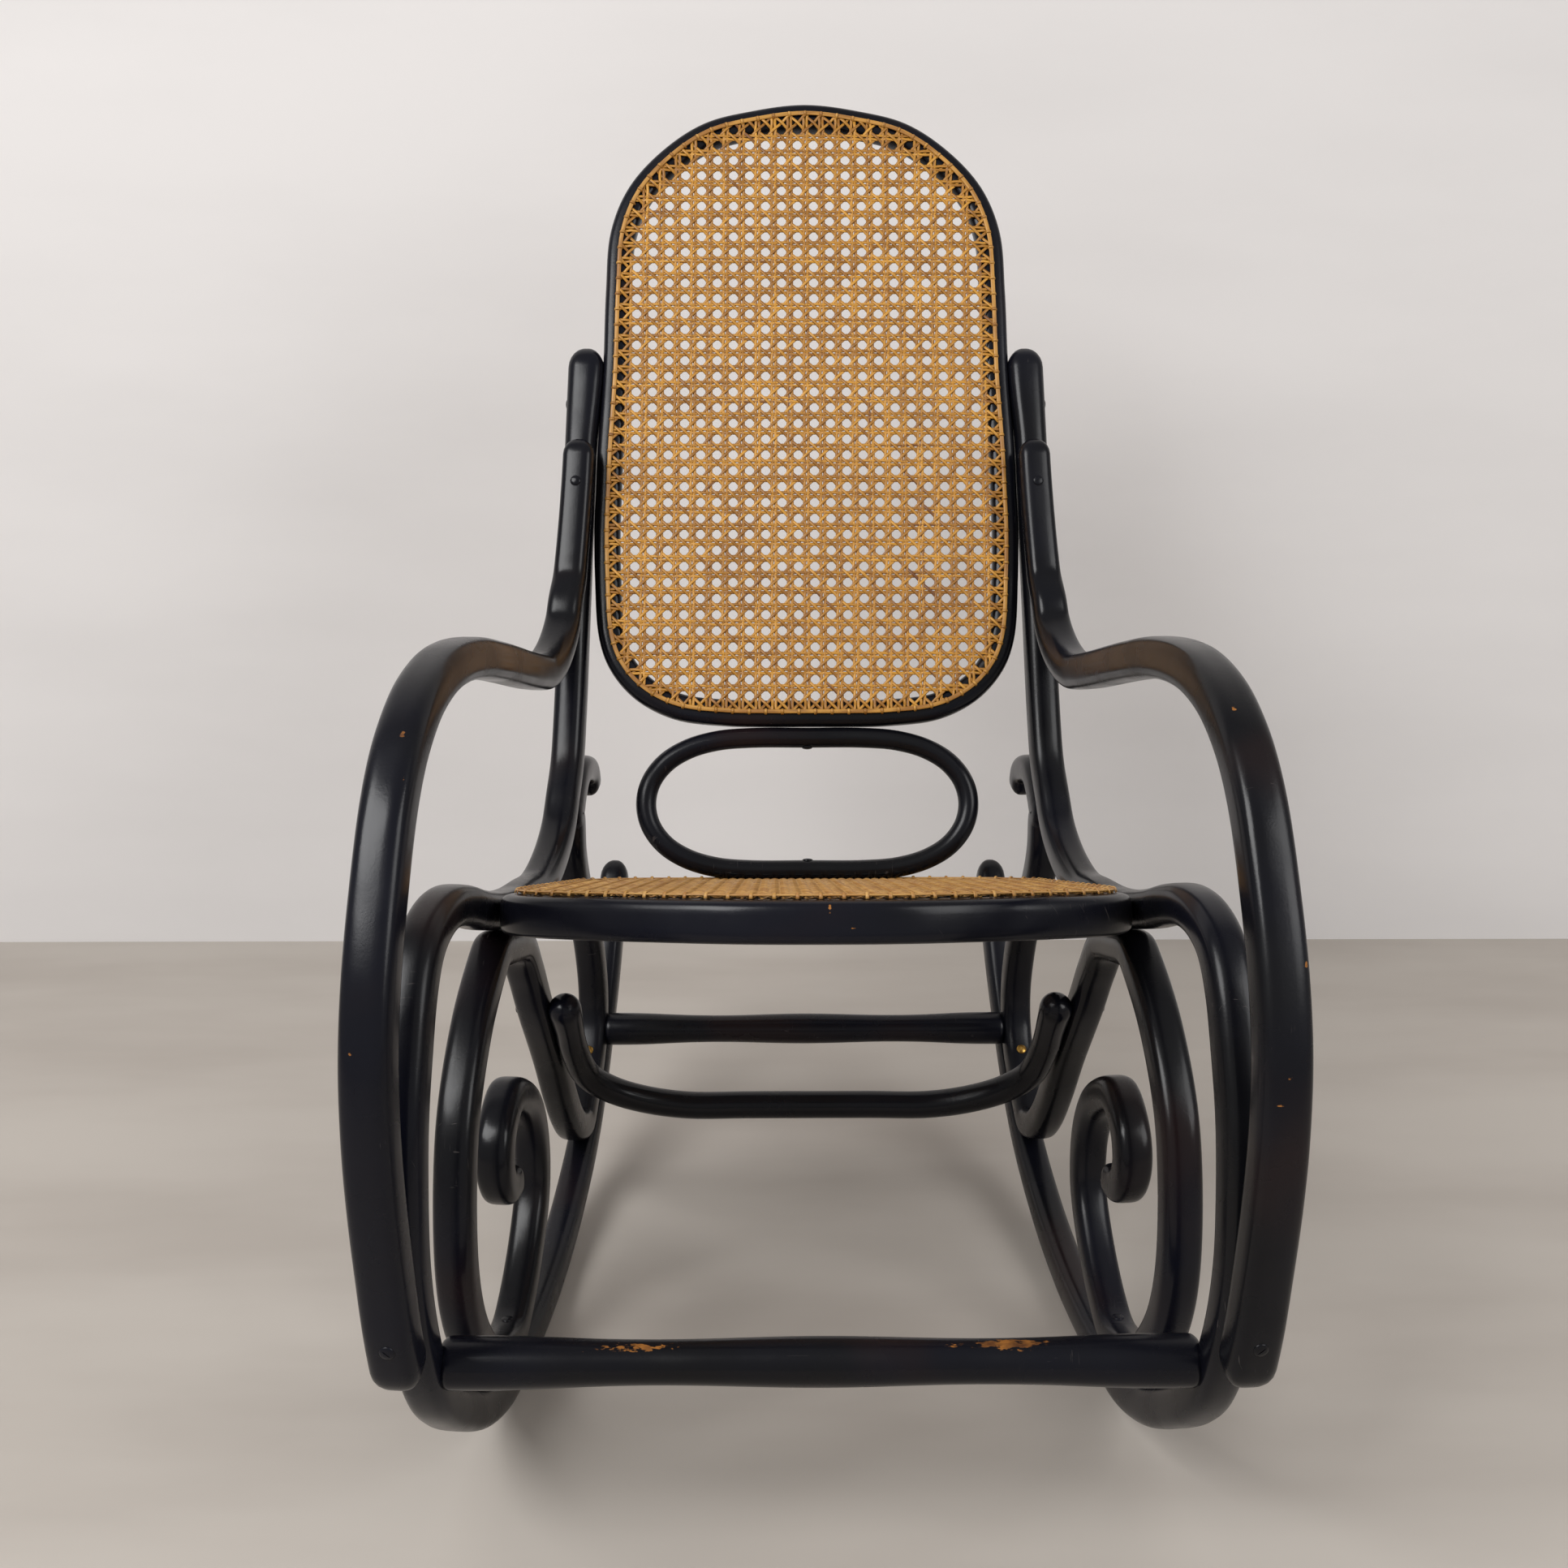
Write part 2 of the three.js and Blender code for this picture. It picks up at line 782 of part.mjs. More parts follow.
function caneSet(name, curve, face, frame, inward, binderInset, margin, finish) {
  const rise = face / 2 + faceGap;
  const binderCurve = new THREE.CatmullRomCurve3(loopInside(curve, inward * binderInset), true);
  const binderSize = () => [binderThick / 2, binderWidth / 2];
  const binder = bentRod(binderCurve, 1, binderSize, flatSection);
  binder.translate(0, 0, rise + binderThick / 2);
  const edge = inward * (binderInset + binderWidth / 2 + faceGap);
  make(single, name + "_cane_binder", binder, frame, finish);
  const solid = canePanel(curve, edge, inward * margin, rise, frame);
  single.set(name + "_cane", { solid, finish });
}
caneSet("seat", seatCurve, seatRingHeight, seatFrame, -1, seatBinderInset, seatCaneMargin, seatCaneFinish);
caneSet("back", backCurve, backRingDepth, backFrame, 1, backBinderInset, backCaneMargin, backCaneFinish);

// Turned stretchers between the side frames

function turnedRod(depth, height, radius) {
  const reach = innerFace(depth, railWidth) + railWidth / 2;
  const end = radius * stretcherEndShare;
  const profile = [
    [0, -reach],
    [end, -reach],
    [end, -0.86 * reach],
    [radius, -0.35 * reach],
    [radius, 0.35 * reach],
    [end, 0.86 * reach],
    [end, reach],
    [0, reach],
  ];
  const points = profile.map(([out, along]) => new THREE.Vector2(out, along));
  const across = frameAt(flat(0, depth, height), flat(0, 0, 1), flat(1, 0), flat(0, 1));
  return solidOf(new THREE.LatheGeometry(points, roundSides), across);
}

// Everything outside the inner face of a side
const beyond = new THREE.BoxGeometry(2 * loopDepth, 2 * loopDepth, loopDepth);
beyond.translate(0, 0, loopDepth / 2 - Math.max(railWidth, scrollWidth) / 2 - bentGap);
const beyondSide = solidOf(beyond, sideFrame);
const beyondOther = solidOf(geometryOf(beyondSide, true), new THREE.Matrix4());

function makeStretcher(name, centre, rod) {
  const blank = turnedRod(centre.x, centre.y, rod / 2);
  const solid = blank.subtract(beyondSide).subtract(beyondOther);
  single.set(name, { solid, finish: lacquer });
}
const frontStretcherCentre = beside(railCurve, place.frontStretcher, frontStretcherShift);
const rearStretcherCentre = beside(scrollCurve, scrollPlace.rearStretcher, -rearStretcherShift);
makeStretcher("front_stretcher", frontStretcherCentre, frontStretcherRod);
makeStretcher("rear_stretcher", rearStretcherCentre, rearStretcherRod);

// Looped stretcher, hung from the falling bands of the scrolls

const hang = -(scrollWidth + loopStretcherRod) / 2 - bentGap;
const loopTop = beside(scrollCurve, scrollPlace.loopStretcher, -loopStretcherShift);
const loopFall = squareTo(scrollCurve, scrollPlace.loopStretcher);
const downLeg = flat(loopFall.y, -loopFall.x);
const legPoint = (down) => {
  const inSide = loopTop.clone().addScaledVector(downLeg, down);
  return flat(inSide.x, inSide.y, hang).applyMatrix4(sideFrame);
};
const loopLeg = [legPoint(0), legPoint(loopStretcherLeg / 2), legPoint(loopStretcherLeg)];
const loopSlope = Math.atan2(loopLeg[2].z - loopLeg[0].z, loopLeg[2].y - loopLeg[0].y);
const loopFrame = leaningFrame(loopLeg[0].y, loopLeg[0].z, loopSlope);
const toLoop = loopFrame.clone().invert();
const legInLoop = loopLeg.map((p) => p.clone().applyMatrix4(toLoop));
const loopRight = [
  ...legInLoop,
  ...scaled(loopCornerShares, legInLoop[2].x, 1).map((p) => flat(
    p.x,
    THREE.MathUtils.lerp(legInLoop[2].y, loopStretcherDrop, p.y),
  )),
];
const loopLeft = loopRight.slice(0, -1).map((p) => flat(-p.x, p.y));
const loopCurve = new THREE.CatmullRomCurve3([...loopRight, ...loopLeft.reverse()]);
const loopSize = () => [loopStretcherRod / 2, loopStretcherRod / 2];
make(single, "u_stretcher", bentRod(loopCurve, roundSteps, loopSize, roundSection), loopFrame, lacquer);

// Screws through one bent piece into the one it lies against

function screwBeside(name, at, sign, thick, lean, others, finish = steel) {
  const origin = beside(railCurve, at, sign * (railThick / 2 + bentGap + thick));
  origin.z = lean;
  const direction = squareTo(railCurve, at).multiplyScalar(-sign);
  const hold = thick + bentGap + screwBite;
  drive(name, origin, direction, sideFrame, hold, ["side_rail", ...others], [], finish);
}
const armScrewShare = (place.armScrew - place.armTop) / (armCurve.points.length - 1);
const armRearThick = armThick * armEndShare;
screwBeside("arm_top_screw", place.armScrew, -1, armRearThick, armDrift(armScrewShare), ["arm"]);
screwBeside("arm_foot_screw", place.footScrew, -1, armThick, 0, ["arm"]);
screwBeside("scroll_arch_screw", place.archScrew, 1, scrollThick, 0, ["scroll"]);
screwBeside("scroll_foot_screw", place.scrollFoot, 1, scrollThick, 0, ["scroll"]);
screwBeside("scroll_heel_screw", place.heelScrew, 1, scrollThick, 0, ["scroll"], brass);
screwBeside("scroll_waist_screw", place.waistScrew, 1, scrollThick, 0, ["scroll"]);

// Screws through a side piece into a ring or a stretcher inside it

function screwThrough(name, spot, face, width, through, into) {
  const hold = width + bentGap + screwBite;
  const origin = flat(spot.x, spot.y, face);
  drive(name, origin, flat(0, 0, -1), sideFrame, hold, [through], [into]);
}
function stileScrew(name, at) {
  const width = railWidthAt(at / (railCurve.points.length - 1));
  const spot = beside(railCurve, at, 0);
  screwThrough(name, spot, width - railWidth / 2, width, "side_rail", "back_frame");
}
stileScrew("back_upper_screw", place.backScrewUpper);
stileScrew("back_lower_screw", place.backScrewLower);
for (const [name, at] of [["seat_front_screw", place.seatScrewFront], ["seat_rear_screw", place.seatScrewRear]]) {
  screwThrough(name, beside(railCurve, at, 0), railWidth / 2, railWidth, "side_rail", "seat_frame");
}
const frontSpot = beside(railCurve, place.frontStretcher, frontStretcherShift / 2);
const rearSpot = beside(scrollCurve, scrollPlace.rearStretcher, -rearStretcherShift / 2);
const loopSpot = beside(scrollCurve, scrollPlace.loopScrew, -loopStretcherShift / 2);
screwThrough("front_stretcher_screw", frontSpot, railWidth / 2, railWidth, "side_rail", "front_stretcher");
screwThrough("rear_stretcher_screw", rearSpot, scrollWidth / 2, scrollWidth, "scroll", "rear_stretcher");
screwThrough("u_stretcher_screw", loopSpot, scrollWidth / 2, scrollWidth, "scroll", "u_stretcher");

// Screws out of the oval ring, up into the back ring and down into the seat ring

const ovalHold = ovalRod + bentGap + screwBite;
const ovalTop = flat(0, bentGap + ovalHeight - ovalRod);
const ovalBottom = flat(0, bentGap + ovalRod);
drive("oval_top_screw", ovalTop, flat(0, 1), backFrame, ovalHold, [], ["oval_ring", "back_frame"]);
drive("oval_bottom_screw", ovalBottom, flat(0, -1), backFrame, ovalHold, [], ["oval_ring", "seat_frame"]);

// The chair

const chair = new THREE.Group();

function addMesh(name, geometry, finish) {
  const mesh = new THREE.Mesh(geometry, new THREE.MeshStandardMaterial(finish));
  mesh.name = name;
  chair.add(mesh);
}
for (const [name, { solid, finish }] of single) {
  addMesh(name, geometryOf(solid, false), finish);
}
for (const [name, { solid, finish }] of paired) {
  addMesh(name + "_right", geometryOf(solid, false), finish);
  addMesh(name + "_left", geometryOf(solid, true), finish);
}

// The origin is under the middle of the chair
const bounds = new THREE.Box3().setFromObject(chair);
chair.position.y = -bounds.getCenter(flat(0, 0)).y;

export default chair;
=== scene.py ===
"""Looks of the bentwood rocking chair: lacquered bends, woven cane, screws and a plain studio.

Lengths are millimetres in the chair's own frame and become metres when a piece is set down. Rubbed
spots and the studio are given in metres.
"""

from __future__ import annotations

import logging
import math
import random
from dataclasses import dataclass, field
from enum import Enum
from typing import Callable, Sequence

import bpy
import numpy as np
from mathutils import Matrix, Vector

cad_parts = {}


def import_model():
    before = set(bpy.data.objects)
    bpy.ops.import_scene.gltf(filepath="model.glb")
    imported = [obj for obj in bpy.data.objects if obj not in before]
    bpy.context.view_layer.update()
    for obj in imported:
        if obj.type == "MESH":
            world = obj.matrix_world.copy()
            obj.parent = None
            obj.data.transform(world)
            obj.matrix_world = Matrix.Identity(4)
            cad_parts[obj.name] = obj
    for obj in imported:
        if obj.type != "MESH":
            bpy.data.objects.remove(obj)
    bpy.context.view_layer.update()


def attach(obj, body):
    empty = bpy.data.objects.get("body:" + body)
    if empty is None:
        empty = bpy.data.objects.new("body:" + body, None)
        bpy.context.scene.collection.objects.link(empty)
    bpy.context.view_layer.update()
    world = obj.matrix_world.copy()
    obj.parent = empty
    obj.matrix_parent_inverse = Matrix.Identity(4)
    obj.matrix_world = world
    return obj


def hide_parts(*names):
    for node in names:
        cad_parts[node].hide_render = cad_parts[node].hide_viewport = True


LOG = logging.getLogger("rocking_chair")
METRE = 0.001
# How far back the chair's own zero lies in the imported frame.
CHAIR_SHIFT = 8.551
BODY = "root"
# Free space between bent rods that lie against each other.
GAP = 0.7

Pair = tuple[float, float]
Triple = tuple[float, float, float]
Shares = Sequence[Pair]
SizeAt = Callable[[float], float]
Socket = bpy.types.NodeSocket


class Slot(Enum):
    """The record's finishes."""

    LACQUER = "lacquer"
    BACK_CANE = "back_cane"
    SEAT_CANE = "seat_cane"
    BRASS = "brass"
    STEEL = "steel"


def srgb(red: float, green: float, blue: float) -> tuple[float, float, float, float]:
    """The linear colour of an 8-bit screen colour.

    Args:
        red: Red, 0 to 255.
        green: Green, 0 to 255.
        blue: Blue, 0 to 255.

    Returns:
        Linear red, green, blue and an alpha of 1.
    """

    def linear(value: float) -> float:
        """One channel, 0 to 1."""
        share = value / 255
        return share / 12.92 if share <= 0.04045 else ((share + 0.055) / 1.055) ** 2.4

    return linear(red), linear(green), linear(blue), 1.0


def smoothstep(value: float, low: float, high: float) -> float:
    """A smooth rise from 0 at low to 1 at high."""
    share = min(1.0, max(0.0, (value - low) / (high - low)))
    return share * share * (3 - 2 * share)


def mix(low: float, high: float, share: float) -> float:
    """The value a share of the way from low to high."""
    return low + (high - low) * share


def always(value: float) -> SizeAt:
    """A size that is the same everywhere along a rod."""
    return lambda share: value


def left_of(way: np.ndarray) -> np.ndarray:
    """The direction to the left of a direction in a plane."""
    return np.array([-way[1], way[0]])


# Lines that rods follow


@dataclass(frozen=True)
class Contact:
    """Where a rod lies along the rail: two places counted in the rail's points, and the spans between."""

    start: float
    stop: float
    spans: int


class Bend:
    """A smooth line through a few points, in a plane."""

    def __init__(self, points: Sequence[Pair], closed: bool = False) -> None:
        """Works out the cubic of each span.

        Args:
            points: The points that the line passes.
            closed: Whether it returns to its first point.
        """
        passed = np.array(points, float)
        self.spans = len(passed) if closed else len(passed) - 1
        if closed:
            padded = np.vstack([passed[-1:], passed, passed[:2]])
        else:
            first = 2 * passed[0] - passed[1]
            last = 2 * passed[-1] - passed[-2]
            padded = np.vstack([first, passed, last])
        before, here, after, beyond = (padded[k : k + self.spans] for k in range(4))

        def pace(a: np.ndarray, b: np.ndarray) -> np.ndarray:
            """The root of the distance between points, which spaces the spans."""
            return (((a - b) ** 2).sum(1) ** 0.25)[:, None]

        d0, d1, d2 = pace(before, here), pace(here, after), pace(after, beyond)
        leave = d1 * ((here - before) / d0 - (after - before) / (d0 + d1) + (after - here) / d1)
        arrive = d1 * ((after - here) / d1 - (beyond - here) / (d1 + d2) + (beyond - after) / d2)
        square = 3 * (after - here) - 2 * leave - arrive
        cube = 2 * (here - after) + leave + arrive
        self.cubic = (here, leave, square, cube)

    def sample(self, shares: Sequence[float]) -> tuple[np.ndarray, np.ndarray]:
        """Points and unit tangents.

        Args:
            shares: How far along the line's spans, 0 to 1.

        Returns:
            The points and the tangents, one row each.
        """
        place = np.asarray(shares, float) * self.spans
        span = np.minimum(np.floor(place).astype(int), self.spans - 1)
        w = (place - span)[:, None]
        c0, c1, c2, c3 = (part[span] for part in self.cubic)
        slope = c1 + 2 * c2 * w + 3 * c3 * w * w
        return c0 + w * (c1 + w * (c2 + w * c3)), slope / np.linalg.norm(slope, axis=1, keepdims=True)

    def square_to(self, at: float) -> np.ndarray:
        """The unit vector to the left at a place that is counted in the line's points."""
        return left_of(self.sample([at / self.spans])[1][0])

    def beside(self, at: float, distance: float = 0.0) -> np.ndarray:
        """The point to the left of a place that is counted in the line's points."""
        return self.sample([at / self.spans])[0][0] + distance * self.square_to(at)

    def run(self, contact: Contact, distance: float) -> list[np.ndarray]:
        """Points to the left of the line, from one end of a contact to the other."""
        places = [mix(contact.start, contact.stop, i / contact.spans) for i in range(contact.spans + 1)]
        return [self.beside(place, distance) for place in places]

    def lengths(self, steps: int = 24) -> tuple[np.ndarray, np.ndarray]:
        """The line's length up to many places along it.

        Args:
            steps: Places in each span.

        Returns:
            The places as shares of the line, and the lengths.
        """
        shares = np.linspace(0, 1, self.spans * steps + 1)
        points = self.sample(shares)[0]
        reached = np.concatenate([[0], np.cumsum(np.linalg.norm(np.diff(points, axis=0), axis=1))])
        return shares, reached

    def inside(self, distance: float, count: int) -> np.ndarray:
        """Evenly spaced points to the right of the line, by a distance.

        Args:
            distance: How far to the right.
            count: How many points.

        Returns:
            The points.
        """
        shares, reached = self.lengths()
        even = np.interp(np.arange(count) / count * reached[-1], reached, shares)
        points, tangents = self.sample(even)
        return points + distance * np.stack([tangents[:, 1], -tangents[:, 0]], 1)


def scaled(shares: Shares, width: float, height: float) -> list[Pair]:
    """Shares of a width and a height as points."""
    return [(along * width, up * height) for along, up in shares]


def mirrored(half: Sequence[Pair]) -> list[Pair]:
    """A half outline and its mirror image, as one run of points."""
    return [*half, *[(-x, y) for x, y in reversed(half) if x > 0]]


# Meshes


@dataclass(frozen=True)
class Rod:
    """A rod's section, between an oval and a rectangle, and how finely the rod is drawn.

    Its squareness is 2 for an oval and more for a squarer section. Its steps are rings in each span.
    """

    in_bend: float
    across: float
    squareness: float = 2.0
    sides: int = 32
    steps: int = 8

    def section(self) -> list[Pair]:
        """The section's points.

        Returns:
            The points, anticlockwise, with x in the plane of the bend and y across it.
        """
        made = []
        for i in range(self.sides):
            turn = 2 * math.pi * (i + 0.5) / self.sides
            c, s = math.cos(turn), math.sin(turn)
            x = math.copysign(abs(c) ** (2 / self.squareness), c) * (self.in_bend / 2)
            y = math.copysign(abs(s) ** (2 / self.squareness), s) * (self.across / 2)
            made.append((x, y))
        return made


@dataclass(frozen=True)
class Route:
    """One rod's way: rows of x, y, z and how much the section grows there.

    An open rod with domed ends also keeps each row's share of its line.
    """

    rows: np.ndarray
    closed: bool = False
    shares: Sequence[float] = ()


def only(piece: bpy.types.Object) -> None:
    """Selects one object and nothing else.

    Args:
        piece: The object.
    """
    bpy.ops.object.select_all(action="DESELECT")
    piece.select_set(True)
    bpy.context.view_layer.objects.active = piece


def drop(piece: bpy.types.Object) -> None:
    """Deletes an object that was only a tool."""
    only(piece)
    bpy.ops.object.delete()


def swept(name: str, routes: Sequence[Route], section: Sequence[Pair]) -> bpy.types.Object:
    """Draws a section along routes and turns the result into one closed mesh.

    Its UV map holds the length along each route in metres and the way round the section, and its
    attribute "strand" holds a number for each route.

    Args:
        name: The piece's name.
        routes: The ways that the section takes.
        section: The section, with x in the plane of the bend and y across it.

    Returns:
        The piece, in the plane's own frame.
    """
    bpy.ops.object.select_all(action="DESELECT")
    bpy.ops.mesh.primitive_circle_add(vertices=len(section))
    profile = bpy.context.active_object
    for vertex, (x, y) in zip(profile.data.vertices, section):
        vertex.co = (x, y, 0)
    bpy.ops.object.convert(target="CURVE")
    profile = bpy.context.active_object
    bpy.ops.object.select_all(action="DESELECT")
    bpy.ops.curve.primitive_nurbs_path_add()
    piece = bpy.context.active_object
    piece.name = name
    piece.data.twist_mode = "Z_UP"
    piece.data.splines.clear()
    for route in routes:
        spline = piece.data.splines.new("POLY")
        spline.points.add(len(route.rows) - 1)
        places = np.ones((len(route.rows), 4))
        places[:, :3] = route.rows[:, :3]
        spline.points.foreach_set("co", places.ravel())
        spline.points.foreach_set("radius", np.ascontiguousarray(route.rows[:, 3]))
        spline.use_cyclic_u = route.closed
    piece.data.bevel_mode = "OBJECT"
    piece.data.bevel_object = profile
    only(piece)
    bpy.ops.object.convert(target="MESH")
    write_ways(piece.data, routes, len(section))
    bpy.ops.object.mode_set(mode="EDIT")
    bpy.ops.mesh.select_all(action="SELECT")
    bpy.ops.mesh.fill_holes(sides=0)
    bpy.ops.mesh.select_all(action="DESELECT")
    bpy.ops.object.mode_set(mode="OBJECT")
    bpy.ops.object.shade_smooth()
    drop(profile)
    return piece


def write_ways(mesh: bpy.types.Mesh, routes: Sequence[Route], sides: int) -> None:
    """Writes the UV map and the strand numbers of a swept mesh.

    Args:
        mesh: The mesh, whose points lie ring by ring.
        routes: The routes that it was swept along.
        sides: How many points each ring has.
    """
    along, strand = [], []
    chance = random.Random(11)
    for route in routes:
        steps = np.linalg.norm(np.diff(route.rows[:, :3], axis=0), axis=1)
        along.append(np.concatenate([[0], np.cumsum(steps)]) * METRE)
        strand.append(np.full(len(route.rows), chance.random()))
    along_at = np.repeat(np.concatenate(along), sides)
    strand_at = np.repeat(np.concatenate(strand), sides)
    if len(mesh.vertices) != len(along_at):
        raise ValueError(f"{mesh.name} has {len(mesh.vertices)} points, not {len(along_at)}")
    holder = mesh.attributes.new("strand", "FLOAT", "POINT")
    holder.data.foreach_set("value", strand_at.astype(np.float32))
    corners = np.empty(len(mesh.loops), np.int32)
    mesh.loops.foreach_get("vertex_index", corners)
    side = corners % sides
    last = np.repeat((side.reshape(-1, 4) == sides - 1).any(1), 4)
    around = np.where(last & (side == 0), sides, side) / sides
    layer = mesh.uv_layers.active or mesh.uv_layers.new(name="UVMap")
    layer.data.foreach_set("uv", np.stack([along_at[corners], around], 1).astype(np.float32).ravel())


def widen(mesh: bpy.types.Mesh, route: Route, scale_at: SizeAt, shift_at: SizeAt) -> None:
    """Widens a swept rod across its plane, ring by ring.

    Args:
        mesh: The rod's mesh, in the plane's own frame.
        route: The route that it was swept along.
        scale_at: How much wider it gets at a share.
        shift_at: How far out it then moves at a share.
    """
    places = np.empty(len(mesh.vertices) * 3, np.float32)
    mesh.vertices.foreach_get("co", places)
    places = places.reshape(-1, 3)
    sides = len(places) // len(route.rows)
    scales = np.repeat([scale_at(share) for share in route.shares], sides)
    shifts = np.repeat([shift_at(share) for share in route.shares], sides)
    places[:, 2] = places[:, 2] * scales + shifts
    mesh.vertices.foreach_set("co", places.ravel())


def set_down(piece: bpy.types.Object, frame: Matrix) -> None:
    """Moves a piece's mesh to its place.

    Args:
        piece: The piece, in millimetres.
        frame: The frame of the chair that it was made in.
    """
    to_row = Matrix.Scale(METRE, 4) @ Matrix.Translation((0, CHAIR_SHIFT, 0))
    piece.data.transform(to_row @ frame)
    piece.data.update()


def other_side(piece: bpy.types.Object, name: str) -> bpy.types.Object:
    """A mirrored copy of a piece, on the chair's other side.

    Args:
        piece: The piece, in place.
        name: The copy's name.

    Returns:
        The copy.
    """
    copy = piece.copy()
    copy.data = piece.data.copy()
    copy.name = name
    bpy.context.scene.collection.objects.link(copy)
    copy.data.transform(Matrix.Scale(-1, 4, Vector((1, 0, 0))))
    copy.data.flip_normals()
    return copy


# Each dome's rings, where its first one lies and how near the rod's next ring may come. The last two
# are shares of the step from ring to ring.
DOME_RINGS = 7
FIRST_RING = 0.35
NEAREST_RING = 0.4


def stations(bend: Bend, steps: int, dome_at: SizeAt) -> list[Pair]:
    """Shares along an open rod and the growth of its section, with a dome at each end.

    Args:
        bend: The rod's line.
        steps: Rings in each span.
        dome_at: How long the domes are, at the shares 0 and 1.

    Returns:
        Pairs of share and growth.
    """
    shares, reached = bend.lengths()
    start, stop = [], []
    for i in range(DOME_RINGS):
        turn = math.pi / 2 * (i + FIRST_RING) / (DOME_RINGS - 1 + FIRST_RING)
        sunk, grow = 1 - math.cos(turn), math.sin(turn)
        start.append((float(np.interp(dome_at(0) * sunk, reached, shares)), grow))
        stop.append((float(np.interp(reached[-1] - dome_at(1) * sunk, reached, shares)), grow))
    count = bend.spans * steps
    low = start[-1][0] + NEAREST_RING / count
    high = stop[-1][0] - NEAREST_RING / count
    between = [(i / count, 1.0) for i in range(count) if low < i / count < high]
    return [*start, *between, *stop[::-1]]


def open_route(
    bend: Bend, steps: int, dome: float, scale_at: SizeAt = always(1.0), drift_at: SizeAt = always(0.0)
) -> Route:
    """The route of a rod with domed ends.

    Args:
        bend: The rod's line.
        steps: Rings in each span.
        dome: How long its domes are where it is full.
        scale_at: How full it is at a share.
        drift_at: How far out of its plane it lies at a share.

    Returns:
        The route.
    """
    placed = stations(bend, steps, lambda share: dome * scale_at(share))
    shares = [share for share, _ in placed]
    rows = [
        (x, y, drift_at(share), grow * scale_at(share))
        for (x, y), (share, grow) in zip(bend.sample(shares)[0], placed)
    ]
    return Route(np.array(rows), shares=shares)


def ring_route(bend: Bend, steps: int) -> Route:
    """The route of a closed ring.

    Args:
        bend: The ring's line.
        steps: Rings in each span.

    Returns:
        The route.
    """
    count = bend.spans * steps
    points = bend.sample([i / count for i in range(count)])[0]
    return Route(np.column_stack([points, np.zeros(count), np.ones(count)]), closed=True)


# Finishes


@dataclass(frozen=True)
class Pattern:
    """Soft noise whose range from low to high becomes a value from least to most.

    Its size is one scale, or one for each axis. Its detail is how fine it gets.
    """

    size: float | Triple
    detail: float
    low: float
    high: float
    least: float = 0.0
    most: float = 1.0


# The two colour sockets of a mix node.
MIX_COLOURS = (6, 7)


